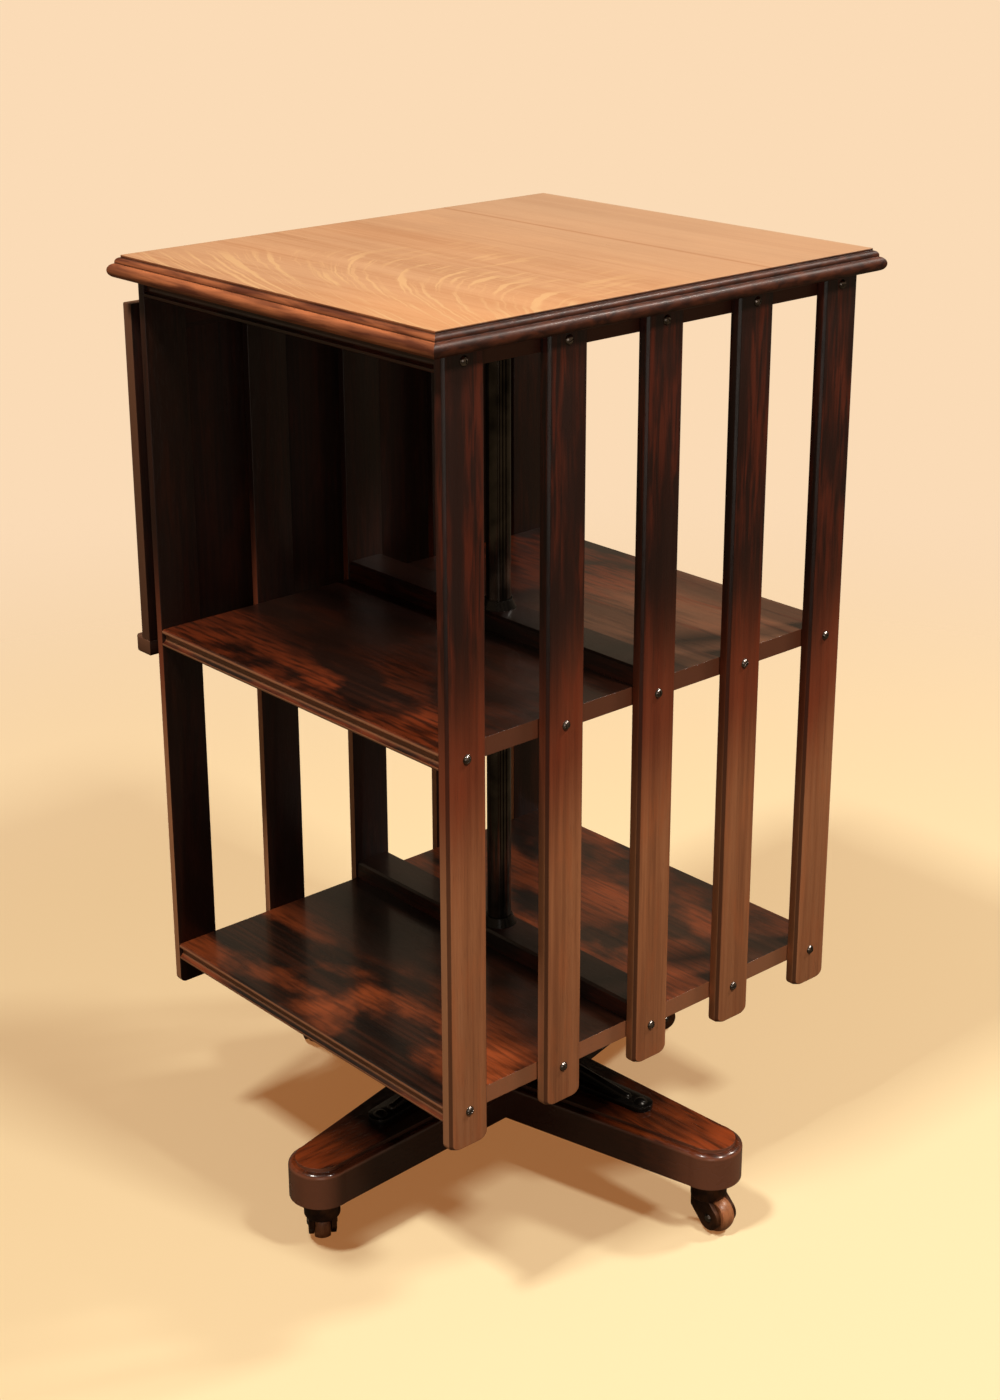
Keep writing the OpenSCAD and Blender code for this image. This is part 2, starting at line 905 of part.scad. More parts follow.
// Castor horn: capped stem and two broad cheeks that hold the axle
module castor_horn(i) {
    color(BRASS)
        at_castor(i)
            difference() {
                union() {
                    rotate_extrude()
                        horn_section();
                    translate([0, cheek_out, 0])
                        rotate([90, 0, 0])
                            linear_extrude(2 * cheek_out)
                                cheek_outline();
                }
                wheel_room();
                translate([castor_trail, 0, wheel_r])
                    rotate([90, 0, 0])
                        cylinder(r = axle_r + fit_gap, h = 4 * cheek_out, center = true);
            }
}

// Riveted axle across the two cheeks of a horn
module castor_axle(i) {
    color(STEEL)
        at_castor(i)
            translate([castor_trail, 0, wheel_r])
                rotate([90, 0, 0]) {
                    cylinder(r = axle_r, h = 2 * cheek_out, center = true);
                    for (s = [0, 180])
                        rotate([s, 0, 0])
                            translate([0, 0, cheek_out])
                                cylinder(r1 = axle_head_r, r2 = axle_r, h = axle_head_h);
                }
}

// Castor wheel with a crowned tread, running on the axle
module castor_wheel(i) {
    bore = axle_r + running_gap;
    color(WHEEL)
        at_castor(i)
            translate([castor_trail, 0, wheel_r])
                rotate([90, 0, 0])
                    rotate_extrude()
                        intersection() {
                            translate([wheel_r - wheel_crown_r, 0])
                                circle(r = wheel_crown_r);
                            translate([bore, -wheel_w / 2])
                                square([wheel_r - bore, wheel_w]);
                        }
}

// Batten on the left slats that carries the flap hinges
module hinge_rail() {
    color(OAK)
        translate([-half_w - hinge_rail_t, -hinge_rail_half, flap_top - hinge_rail_h])
            cube([hinge_rail_t, 2 * hinge_rail_half, hinge_rail_h]);
}

// Knuckle of a hinge between two heights along Y, on the hinge axis
module knuckle(y0, y1) {
    translate([-hinge_x, y1, hinge_z])
        rotate([90, 0, 0])
            cylinder(r = knuckle_r, h = y1 - y0);
}

// Leaf plate whose inner face is at x, cut away beside the other leaf's knuckles
module leaf_plate(x, y0, y1) {
    translate([x, y0, flap_top - hinge_leaf_h])
        cube([hinge_leaf_t, y1 - y0, hinge_leaf_h]);
}

// Neck that joins a leaf plate to its own knuckle
module leaf_neck(x, y0, y1) {
    translate([x, y0, flap_top])
        cube([hinge_leaf_t, y1 - y0, hinge_z - flap_top]);
}

// Bore for a hinge pin of the given radius
module pin_bore(r) {
    translate([-hinge_x, hinge_len, hinge_z])
        rotate([90, 0, 0])
            cylinder(r = r, h = 2 * hinge_len);
}

// Leaves screwed to the hinge rail, with the two outer knuckles
module hinge_fixed_leaves() {
    half = hinge_len / 2;
    inner = knuckle_len / 2 + swing_gap;
    x = -half_w - hinge_rail_t - hinge_leaf_t;
    color(BRASS)
        for (y = hinge_ys)
            translate([0, y, 0])
                difference() {
                    union() {
                        leaf_plate(x, -half, half);
                        for (s = [[-half, -inner], [inner, half]]) {
                            leaf_neck(x, s[0], s[1]);
                            knuckle(s[0], s[1]);
                        }
                    }
                    pin_bore(hinge_pin_r);
                }
}

// Leaves screwed to the flap, with the middle knuckle
module hinge_moving_leaves() {
    half = hinge_len / 2;
    inner = knuckle_len / 2;
    x = -flap_in;
    color(BRASS)
        for (y = hinge_ys)
            translate([0, y, 0])
                difference() {
                    union() {
                        leaf_plate(x, -half, half);
                        leaf_neck(x, -inner, inner);
                        knuckle(-inner, inner);
                    }
                    pin_bore(hinge_pin_r + running_gap);
                }
}

module hinge_pins() {
    color(STEEL)
        for (y = hinge_ys)
            translate([-hinge_x, y + hinge_len / 2, hinge_z])
                rotate([90, 0, 0])
                    cylinder(r = hinge_pin_r, h = hinge_len);
}

// Flap panel hanging outside the left slats, chamfered round its outer face
module flap_board() {
    height_cut = [
        [-flap_in, flap_bottom],
        [-flap_in, flap_top],
        [flap_chamfer - flap_out, flap_top],
        [-flap_out, flap_top - flap_chamfer],
        [-flap_out, flap_bottom]
    ];
    width_cut = [
        [-flap_in, -flap_half],
        [-flap_in, flap_half],
        [flap_chamfer - flap_out, flap_half],
        [-flap_out, flap_half - flap_chamfer],
        [-flap_out, flap_chamfer - flap_half],
        [flap_chamfer - flap_out, -flap_half]
    ];
    color(OAK)
        intersection() {
            translate([0, flap_half, 0])
                rotate([90, 0, 0])
                    linear_extrude(2 * flap_half)
                        polygon(height_cut);
            translate([0, 0, flap_bottom])
                linear_extrude(flap_h)
                    polygon(width_cut);
        }
}

// Plan of the ledge with rounded outer corners
module ledge_plan() {
    out = flap_out + ledge_reach;
    translate([-out + ledge_corner_r, -flap_half])
        square([out - ledge_corner_r - flap_in, 2 * flap_half]);
    translate([-out, ledge_corner_r - flap_half])
        square([out - flap_in, 2 * (flap_half - ledge_corner_r)]);
    for (s = [-1, 1])
        translate([-out + ledge_corner_r, s * (flap_half - ledge_corner_r)])
            circle(r = ledge_corner_r);
}

// Section of the ledge with its outer edges rounded
module ledge_section() {
    out = flap_out + ledge_reach;
    translate([-out + ledge_nose_r, 0])
        square([out - ledge_nose_r - flap_in, ledge_h]);
    translate([-out, ledge_nose_r])
        square([ledge_nose_r, ledge_h - 2 * ledge_nose_r]);
    for (z = [ledge_nose_r, ledge_h - ledge_nose_r])
        translate([-out + ledge_nose_r, z])
            circle(r = ledge_nose_r);
}

// Book ledge under the lower edge of the flap
module flap_ledge() {
    color(OAK)
        translate([0, 0, flap_bottom - ledge_h])
            intersection() {
                linear_extrude(ledge_h)
                    ledge_plan();
                translate([0, flap_half, 0])
                    rotate([90, 0, 0])
                        linear_extrude(2 * flap_half)
                            ledge_section();
            }
}

base_beam_lower();
base_beam_upper();
iron_spider();
spider_screws();
centre_post();
post_washer();
post_nut();
castor_sockets();
for (i = [1:CASTORS]) castor_horn(i);
for (i = [1:CASTORS]) castor_axle(i);
for (i = [1:CASTORS]) castor_wheel(i);
top_board();
carcass_top();
middle_shelf();
bottom_shelf();
middle_rail();
bottom_rail();
middle_bush();
bottom_bush();
pivot_cup();
for (s = SIDES, i = [1:SLATS]) side_slat(s, i);
for (s = SIDES) slat_screws(s);
hinge_rail();
hinge_fixed_leaves();
hinge_pins();
flap_board();
flap_ledge();
hinge_moving_leaves();
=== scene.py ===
"""Looks of a revolving oak bookcase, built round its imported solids.

Each sub-assembly is a class that models its own pieces and dresses its solids,
and each finish is a frozen dataclass that makes one procedural material.
"""

import functools
import logging
import math
from collections.abc import Callable, Iterable
from dataclasses import dataclass, replace
from enum import Enum

import bpy
from mathutils import Matrix, Vector


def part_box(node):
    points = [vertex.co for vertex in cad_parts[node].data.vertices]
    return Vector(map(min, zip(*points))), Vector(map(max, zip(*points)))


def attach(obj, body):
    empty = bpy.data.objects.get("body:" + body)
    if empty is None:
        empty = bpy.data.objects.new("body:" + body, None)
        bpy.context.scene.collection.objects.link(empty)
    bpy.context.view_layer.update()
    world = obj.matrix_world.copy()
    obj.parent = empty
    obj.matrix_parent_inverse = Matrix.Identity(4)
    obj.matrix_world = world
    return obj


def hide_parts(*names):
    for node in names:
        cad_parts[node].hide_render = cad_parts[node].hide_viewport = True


LOG = logging.getLogger("bookcase")
MM = 0.001
NOISE_MIDDLE = 0.5
CASTOR_NUMBERS = (1, 2, 3, 4)

Triple = tuple[float, float, float]
Colour = Triple
Rise = tuple[float, float]
Socket = bpy.types.NodeSocket
Value = float | Colour | Socket

WHITE: Colour = (1.0, 1.0, 1.0)
RUBBED_SPAN: Rise = (-0.04, 0.14)

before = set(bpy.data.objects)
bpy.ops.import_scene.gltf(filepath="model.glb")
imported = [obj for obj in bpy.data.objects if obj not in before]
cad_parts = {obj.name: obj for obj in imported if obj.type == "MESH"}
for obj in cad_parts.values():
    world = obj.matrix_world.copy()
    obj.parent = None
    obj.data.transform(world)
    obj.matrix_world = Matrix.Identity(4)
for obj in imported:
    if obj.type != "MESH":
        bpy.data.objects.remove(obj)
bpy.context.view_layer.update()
NODES: dict[str, bpy.types.Object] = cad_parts


class Axis(Enum):
    """Axis of a piece, by its place among the coordinates."""

    X = 0
    Y = 1
    Z = 2


class Grain(Enum):
    """Axes of a board, with the one that its fibres run along first."""

    ALONG_X = (Axis.X, Axis.Y, Axis.Z)
    ALONG_Y = (Axis.Y, Axis.X, Axis.Z)
    ALONG_Z = (Axis.Z, Axis.Y, Axis.X)


class Side(Enum):
    """Slatted side of the case, with the sign of its outward X direction."""

    RIGHT = 1
    LEFT = -1

    @property
    def word(self) -> str:
        """Name of the side as the solids use it."""
        return self.name.lower()


def srgb(red: int, green: int, blue: int) -> Colour:
    """Turns a display colour into the linear values that shaders use.

    Args:
        red: Red from 0 to 255.
        green: Green from 0 to 255.
        blue: Blue from 0 to 255.

    Returns:
        The linear colour.
    """

    def linear(value: int) -> float:
        """Undoes the sRGB curve for one channel."""
        share = value / 255
        return share / 12.92 if share <= 0.04045 else ((share + 0.055) / 1.055) ** 2.4

    return linear(red), linear(green), linear(blue)


def about(centre: float, span: Rise) -> Rise:
    """Places a rise about a centre."""
    return centre + span[0], centre + span[1]


@dataclass(frozen=True)
class Pattern:
    """Noise that is stretched over a piece.

    Attributes:
        scale: Cells per metre along each axis.
        shift: Shift along each axis, in cells.
        detail: Octaves of finer noise.
        bend: How far the noise distorts itself.
        turn: Turn about the third axis in degrees.
        rise: Levels of the noise at which its marks start and are full.
    """

    scale: Triple
    shift: Triple = (0, 0, 0)
    detail: float = 3.0
    bend: float = 0.0
    turn: float = 0.0
    rise: Rise = (0.25, 0.75)


def rubbed_patches(scale: Triple, level: float = 0.5) -> Pattern:
    """Patches in which the stain is rubbed through.

    Args:
        scale: Patches per metre along each axis.
        level: Level of the noise near which they start.

    Returns:
        The pattern.
    """
    return Pattern(scale, (2.1, 0.7, 0.3), detail=5.0, bend=0.15, rise=about(level, RUBBED_SPAN))


class Tree:
    """Node tree, with short ways to add its nodes."""

    def __init__(self, tree: bpy.types.NodeTree) -> None:
        """Empties the tree that is to be filled."""
        self.tree = tree
        tree.nodes.clear()

    def add(self, kind: str, *values: Value, **settings: object) -> bpy.types.Node:
        """Adds a node, sets its own properties and feeds its first inputs.

        Args:
            kind: Blender's name for the node type.
            values: What its inputs are fed, in order.
            settings: Properties of the node.

        Returns:
            The new node.
        """
        node = self.tree.nodes.new(kind)
        for key, setting in settings.items():
            setattr(node, key, setting)
        for slot, value in zip(node.inputs, values):
            self.feed(slot, value)
        return node

    def feed(self, target: Socket, value: Value) -> None:
        """Links a socket to another, or sets it to a constant.

        Args:
            target: The input socket.
            value: A socket, a number or a colour.
        """
        if isinstance(value, bpy.types.NodeSocket):
            self.tree.links.new(value, target)
        elif isinstance(value, tuple) and target.type == "RGBA":
            target.default_value = (*value, 1.0)
        else:
            target.default_value = value

    def split(self, vector: Socket) -> tuple[Socket, ...]:
        """The three values of a vector."""
        return tuple(self.add("ShaderNodeSeparateXYZ", vector).outputs)

    def join(self, *parts: Value) -> Socket:
        """Vector of values in order, with 0 for those left out."""
        return self.add("ShaderNodeCombineXYZ", *parts).outputs[0]

    def work_out(self, kind: str, *values: Value) -> Socket:
        """One step of arithmetic, by Blender's name for it."""
        return self.add("ShaderNodeMath", *values, operation=kind).outputs[0]

    def plus(self, *terms: Value) -> Socket:
        """Sum of values."""
        return functools.reduce(functools.partial(self.work_out, "ADD"), terms)

    def minus(self, first: Value, second: Value) -> Socket:
        """Difference of two values."""
        return self.work_out("SUBTRACT", first, second)

    def times(self, *factors: Value) -> Socket:
        """Product of values."""
        return functools.reduce(functools.partial(self.work_out, "MULTIPLY"), factors)

    def largest(self, *values: Value) -> Socket:
        """Largest of values."""
        return functools.reduce(functools.partial(self.work_out, "MAXIMUM"), values)

    def size(self, value: Value) -> Socket:
        """A value without its sign."""
        return self.work_out("ABSOLUTE", value)

    def band(self, value: Socket, rise: Rise, top: float = 1.0) -> Socket:
        """Smooth rise from 0 to top, between the values where it starts and ends."""
        node = self.add("ShaderNodeMapRange", value, *rise, 0.0, top, interpolation_type="SMOOTHSTEP")
        return node.outputs[0]

    def mix(self, share: Value, first: Value, second: Value, blend: str = "MIX") -> Socket:
        """Mixes two colours.

        Args:
            share: Share of the second colour.
            first: First colour.
            second: Second colour.
            blend: Blender's name for the way of mixing.

        Returns:
            A colour socket.
        """
        node = self.add("ShaderNodeMix", data_type="RGBA", blend_type=blend)
        slots = [slot for slot in node.inputs if slot.type == "RGBA"]
        self.feed(node.inputs["Factor"], share)
        self.feed(slots[0], first)
        self.feed(slots[1], second)
        return next(slot for slot in node.outputs if slot.type == "RGBA")

    def ramp(self, share: Socket, stops: Iterable[tuple[float, Colour]]) -> Socket:
        """Colour ramp through the given stops.

        Args:
            share: Place along the ramp.
            stops: Places and colours, in order.

        Returns:
            A colour socket.
        """
        node = self.add("ShaderNodeValToRGB", share)
        places = node.color_ramp.elements
        ready = len(places)
        for index, (place, colour) in enumerate(stops):
            stop = places[index] if index < ready else places.new(place)
            stop.position = place
            stop.color = (*colour, 1.0)
        return node.outputs[0]


class Shader(Tree):
    """Node tree of one material.

    Attributes:
        axes: Object coordinates of the piece.
        place: The same as a vector, with the fibre direction first.
        normal: Normal, softened near the edges.
        edge: How sharp an edge is there, from 0 on the flat.
    """

    edge_samples: int = 4

    def __init__(self, name: str, reach: float = 0.0, grain: Grain = Grain.ALONG_X) -> None:
        """Starts a material with a Principled surface.

        Args:
            name: Name of the material.
            reach: Radius of its softened edges in metres.
            grain: Direction of its fibres.
        """
        self.material = bpy.data.materials.new(name)
        self.material.use_nodes = True
        super().__init__(self.material.node_tree)
        self.surface = self.add("ShaderNodeBsdfPrincipled")
        self.add("ShaderNodeOutputMaterial", self.surface.outputs[0])
        self.axes = self.split(self.add("ShaderNodeTexCoord").outputs["Object"])
        self.place = self.join(*(self.axes[axis.value] for axis in grain.value))
        self.normal, self.edge = self.edges(reach)

    def set_surface(self, **values: Value) -> None:
        """Links or sets sockets of the surface, named with _ for each space."""
        for key, value in values.items():
            self.feed(self.surface.inputs[key.replace("_", " ")], value)

    def facing(self, axis: Axis) -> Socket:
        """How far the surface faces along an axis of the piece, from -1 to 1."""
        return self.split(self.add("ShaderNodeTexCoord").outputs["Normal"])[axis.value]

    def pattern(self, pattern: Pattern, vector: Socket | None = None) -> Socket:
        """Noise of a pattern, between about 0.25 and 0.75.

        Args:
            pattern: The pattern.
            vector: Its coordinates, if not those of the fibres.

        Returns:
            A value socket.
        """
        place = self.place if vector is None else vector
        turn = (0, 0, math.radians(pattern.turn))
        cells = self.add("ShaderNodeMapping", place, pattern.shift, turn, pattern.scale)
        noise = self.add("ShaderNodeTexNoise", cells.outputs[0])
        noise.inputs["Scale"].default_value = 1.0
        noise.inputs["Detail"].default_value = pattern.detail
        noise.inputs["Distortion"].default_value = pattern.bend
        return noise.outputs["Fac"]

    def marks(self, pattern: Pattern, top: float = 1.0, vector: Socket | None = None) -> Socket:
        """Marks of a pattern, from 0 between them to top on them."""
        return self.band(self.pattern(pattern, vector), pattern.rise, top)

    def edges(self, reach: float) -> tuple[Socket, Socket]:
        """Softened normal near an edge, and how sharp the edge is there.

        Args:
            reach: Radius of the softened edge in metres.

        Returns:
            The normal, and a value that rises from 0 on the flat.
        """
        soft = self.add("ShaderNodeBevel", reach, samples=self.edge_samples).outputs[0]
        flat = self.add("ShaderNodeNewGeometry").outputs["Normal"]
        dot = self.add("ShaderNodeVectorMath", soft, flat, operation="DOT_PRODUCT")
        return soft, self.minus(1.0, dot.outputs["Value"])

    def relief(self, height: Socket, depth: float, strength: float) -> None:
        """Raises the surface by a height pattern.

        Args:
            height: The pattern.
            depth: Height of the pattern in metres.
            strength: Share of the effect.
        """
        node = self.add("ShaderNodeBump")
        node.inputs["Strength"].default_value = strength
        node.inputs["Distance"].default_value = depth
        self.feed(node.inputs["Height"], height)
        self.feed(node.inputs["Normal"], self.normal)
        self.set_surface(Normal=node.outputs[0])


@dataclass(frozen=True)
class OakFinish:
    """Stained and polished oak of one colour, with the fibres one way."""

    name: str
    grain: Grain
    dark: Colour
    middle: Colour
    light: Colour
    rubbed: Colour
    rubbed_share: float = 0.5
    patches: Pattern = rubbed_patches((16, 60, 60))
    threads: Pattern = Pattern((24, 260, 260), (0.2, 0.4, 1.3), rise=(0.34, 0.58))
    fibre_cut: float = 1.0
    bands: Pattern = Pattern((0.9, 38, 38), detail=4.0, bend=0.1)
    streaks: Pattern = Pattern((5, 230, 230), (0.3, 1.7, 0.9))
    fibres: Pattern = Pattern((15, 620, 620))
    tone_shares: Triple = (0.45, 0.35, 0.2)
    tone_stops: Triple = (0.38, 0.5, 0.62)
    pores: Pattern = Pattern((60, 1600, 1600), detail=2.0, rise=(0.58, 0.68))
    pore_share: float = 0.5
    fibre_height: float = 0.4
    pore_depth: float = 0.6
    relief_depth: float = 0.25 * MM
    relief_share: float = 0.5
    roughness: float = 0.36
    smears: Pattern = Pattern((7, 19, 19), (0.4, 1.9, 0.2), detail=4.0)
    smear_range: float = 0.24
    polish: float = 0.3
    polish_roughness: float = 0.2
    refraction: float = 1.45
    edge_reach: float = 0.8 * MM
    edge_rise: Rise = (0.03, 0.25)
    edge_wear: float = 0.5
    breaks: Pattern = Pattern((30, 90, 90), rise=(0.35, 0.6))
    broad: Axis = Axis.Z
    # Painted light: a paler colour for the faces across the broad axis, as if lit.
    lit_narrow: Colour | None = None
    lit_narrow_rise: Rise = (0.75, 0.35)
    lit_narrow_share: float = 0.8

    def wood(self, shader: Shader) -> tuple[Socket, Socket]:
        """Colour and height of the bare fibres and pores.

        Args:
            shader: The material being made.

        Returns:
            The colour and the height pattern.
        """
        fibres = shader.pattern(self.fibres)
        layers = (shader.pattern(self.bands), shader.pattern(self.streaks), fibres)
        share = shader.plus(*(shader.times(*pair) for pair in zip(layers, self.tone_shares)))
        tone = shader.ramp(share, zip(self.tone_stops, (self.dark, self.middle, self.light)))
        pores = shader.marks(self.pores)
        colour = shader.mix(shader.times(pores, self.pore_share), tone, self.dark)
        height = shader.minus(shader.times(fibres, self.fibre_height), shader.times(pores, self.pore_depth))
        return colour, height

    def wear(self, shader: Shader, colour: Socket) -> Socket:
        """Rubs the stain through in patches and along the edges.

        Args:
            shader: The material being made.
            colour: Colour of the unworn wood.

        Returns:
            The worn colour.
        """
        share = shader.marks(self.patches, self.rubbed_share)
        kept = shader.plus(shader.marks(self.threads, self.fibre_cut), 1.0 - self.fibre_cut)
        colour = shader.mix(shader.times(share, kept), colour, self.rubbed)
        # Painted light: faces across the broad axis are mixed towards a paler colour.
        if self.lit_narrow is not None:
            turned = shader.size(shader.facing(self.broad))
            colour = shader.mix(shader.band(turned, self.lit_narrow_rise, self.lit_narrow_share), colour, self.lit_narrow)
        arris = shader.band(shader.edge, self.edge_rise, self.edge_wear)
        return shader.mix(shader.times(arris, shader.marks(self.breaks)), colour, self.rubbed)

    def polished(self, shader: Shader, dull: Value = 0.0) -> None:
        """Gives the surface its wax and varnish.

        Args:
            shader: The material being made.
            dull: Roughness added where the polish is worn.
        """
        smears = shader.times(shader.pattern(self.smears), self.smear_range)
        shader.set_surface(
            Roughness=shader.plus(self.roughness - self.smear_range / 2, smears, dull),
            Coat_Weight=self.polish,
            Coat_Roughness=self.polish_roughness,
            IOR=self.refraction,
        )

    def material(self) -> bpy.types.Material:
        """Makes the material.

        Returns:
            The material.
        """
        shader = Shader(self.name, self.edge_reach, self.grain)
        colour, height = self.wood(shader)
        shader.set_surface(Base_Color=self.wear(shader, colour))
        self.polished(shader)
        shader.relief(height, self.relief_depth, self.relief_share)
        return shader.material


@dataclass(frozen=True)
class ShelfOak(OakFinish):
    """Oak of the shelves, rubbed towards the front, with painted shade beside the stop rail and on the ends,
    and painted light far to the right.
    """

    # Painted shade beside the stop rail, where the rubbed patches give way to the middle tone.
    shade_at: float = -45 * MM
    shade_half: float = 90 * MM
    rubbed_half: float = 165 * MM
    shade_share: float = 0.9
    ragged: Pattern = Pattern((6, 14, 14))
    faced: Rise = (0.5, 0.9)
    # Painted light on the far right of the top face, in threads along the grain.
    far: Colour = srgb(150, 98, 69)
    far_light_share: float = 0.8
    far_light_rise: Rise = (20 * MM, 90 * MM)
    far_light_side: Rise = (-60 * MM, 60 * MM)
    far_light_threads: Pattern = Pattern((9, 120, 120), (1.7, 0.4, 0.2), rise=(0.25, 0.6))
    # Painted shade on the ends, between the slats.
    end_lighting: Colour = srgb(96, 49, 33)
    end_lighting_share: float = 0.85

    def wear(self, shader: Shader, colour: Socket) -> Socket:
        """Rubs the stain through, then paints shade beside the stop rail and on the ends, and light far to
        the right.

        Args:
            shader: The material being made.
            colour: Colour of the unworn wood.

        Returns:
            The worn colour.
        """
        colour = super().wear(shader, colour)
        x, y, _ = shader.axes
        # Painted shade: near the stop rail the colour goes back to the middle tone.
        ragged = shader.minus(shader.pattern(self.ragged), NOISE_MIDDLE)
        off = shader.plus(shader.size(shader.minus(y, self.shade_at)), shader.times(ragged, self.rubbed_half))
        upward = shader.band(shader.facing(Axis.Z), self.faced)
        kept = shader.times(shader.band(off, (self.rubbed_half, self.shade_half), self.shade_share), upward)
        colour = shader.mix(kept, colour, self.middle)
        # Painted light on the far right corner of the top face.
        threads = shader.marks(self.far_light_threads)
        corner = shader.times(shader.band(y, self.far_light_rise), shader.band(x, self.far_light_side))
        colour = shader.mix(shader.times(corner, threads, upward, self.far_light_share), colour, self.far)
        # Painted shade on the ends.
        ends = shader.band(shader.size(shader.facing(Axis.X)), self.faced, self.end_lighting_share)
        return shader.mix(ends, colour, self.end_lighting)


@dataclass(frozen=True)
class SlatOak(OakFinish):
    """Oak of the slats, with painted light that pales the outer faces from the middle to the foot, and
    painted shade on the heads and inward faces.
    """

    side: Side = Side.RIGHT
    # Painted shade over the heads and inward faces, with red figure streaks in it.
    shaded_head_dark: Colour = (0.044, 0.03, 0.044)
    shaded_head_red: Colour = (0.22, 0.1, 0.095)
    red_streaks: Pattern = Pattern((17, 210, 210), (1.1, 0.2, 2.3), detail=4.0, bend=0.4, rise=(0.36, 0.64))
    red_fields: Pattern = Pattern((8, 40, 40), (0.6, 2.2, 1.3), bend=0.3, rise=(0.36, 0.62))
    # Painted light over the outer faces, from this half-lit level at the middle to full light at the foot.
    half_lit_tint: Colour = (0.5, 0.28, 0.25)
    half_lit_rise: Rise = (0.0, 0.5)
    full_lit_rise: Rise = (0.45, 1.0)
    # Heights over which the painted light rises down the outer faces, and its waviness.
    pale: Rise = (640 * MM, 310 * MM)
    pale_spread: float = 240 * MM
    pale_levels: Pattern = Pattern((9, 1, 1), detail=1.0)
    outer: Rise = (-0.6, -0.1)
    # Darker colour on the chamfers.
    chamfer_dark: Colour = srgb(70, 36, 22)
    chamfer_dark_share: float = 0.75
    chamfer: tuple[Rise, Rise] = ((0.97, 0.85), (0.3, 0.6))

    def wear(self, shader: Shader, colour: Socket) -> Socket:
        """Wears the bare wood, then multiplies painted shade and painted light over it.

        Args:
            shader: The material being made.
            colour: Colour of the unworn wood.

        Returns:
            The stained colour.
        """
        colour = super().wear(shader, colour)
        _, y, z = shader.axes
        shift = shader.minus(shader.pattern(self.pale_levels, shader.join(y)), NOISE_MIDDLE)
        level = shader.plus(z, shader.times(shift, self.pale_spread))
        outward = shader.times(shader.facing(self.broad), float(self.side.value))
        # Painted light rises towards the foot of the outer faces; the rest keeps the painted shade.
        foot_light = shader.times(shader.band(level, self.pale), shader.band(outward, self.outer))
        ruddy = shader.times(shader.marks(self.red_streaks), shader.marks(self.red_fields))
        head = shader.mix(ruddy, self.shaded_head_dark, self.shaded_head_red)
        light_tint = shader.mix(shader.band(foot_light, self.half_lit_rise), head, self.half_lit_tint)
        light_tint = shader.mix(shader.band(foot_light, self.full_lit_rise), light_tint, WHITE)
        # Darkens the chamfers between the outer faces and the edge faces.
        chamfer = (shader.band(outward, rise) for rise in self.chamfer)
        colour = shader.mix(shader.times(*chamfer, self.chamfer_dark_share), colour, self.chamfer_dark)
        # Multiplies the painted light and shade over the wood.
        return shader.mix(1.0, colour, light_tint, "MULTIPLY")


@dataclass(frozen=True)
class ArmOak(OakFinish):
    """Oak of the cross base, with the case's shadow painted towards the middle, painted light and shade on
    its upright sides and painted light at its ends.
    """

    # Painted light and shade: the upright sides get their own greyer brown.
    side_lighting: Colour = srgb(84, 50, 37)
    side_lighting_share: float = 0.8
    upright: Rise = (0.8, 0.4)
    # Painted shadow of the case, multiplied in towards the middle.
    case_shadow_tint: Colour = (0.3, 0.28, 0.3)
    case_shadow: Rise = (205 * MM, 150 * MM)
    # Painted light on the ends, on the sides and in threads on the raised flat.
    end_lighting: Rise = (205 * MM, 250 * MM)
    lit_end_side: Colour = srgb(158, 95, 66)
    lit_end_flat: Colour = srgb(178, 78, 35)
    end_lighting_share: float = 0.55
    lit_end_threads: Pattern = Pattern((20, 190, 190), (0.7, 1.2, 0.1), rise=(0.3, 0.6))
    raised: Rise = (88 * MM, 88.6 * MM)

    def wear(self, shader: Shader, colour: Socket) -> Socket:
        """Rubs the stain through, then paints the case's shadow towards the middle, light and shade on the
        sides and light on the ends.

        Args:
            shader: The material being made.
            colour: Colour of the unworn wood.

        Returns:
            The worn colour.
        """
        colour = super().wear(shader, colour)
        x, y, z = shader.axes
        reach = shader.work_out("SQRT", shader.plus(shader.times(x, x), shader.times(y, y)))
        # Painted shadow of the case towards the middle.
        case_shadow = shader.mix(1.0, colour, self.case_shadow_tint, "MULTIPLY")
        colour = shader.mix(shader.band(reach, self.case_shadow), colour, case_shadow)
        # Painted light and shade on the upright sides.
        upright = shader.band(shader.facing(Axis.Z), self.upright)
        colour = shader.mix(shader.times(upright, self.side_lighting_share), colour, self.side_lighting)
        # Painted light at the ends.
        raised = shader.times(shader.band(z, self.raised), shader.marks(self.lit_end_threads))
        end_lighting = shader.times(shader.band(reach, self.end_lighting), shader.largest(upright, raised), self.end_lighting_share)
        return shader.mix(end_lighting, colour, shader.mix(upright, self.lit_end_flat, self.lit_end_side))


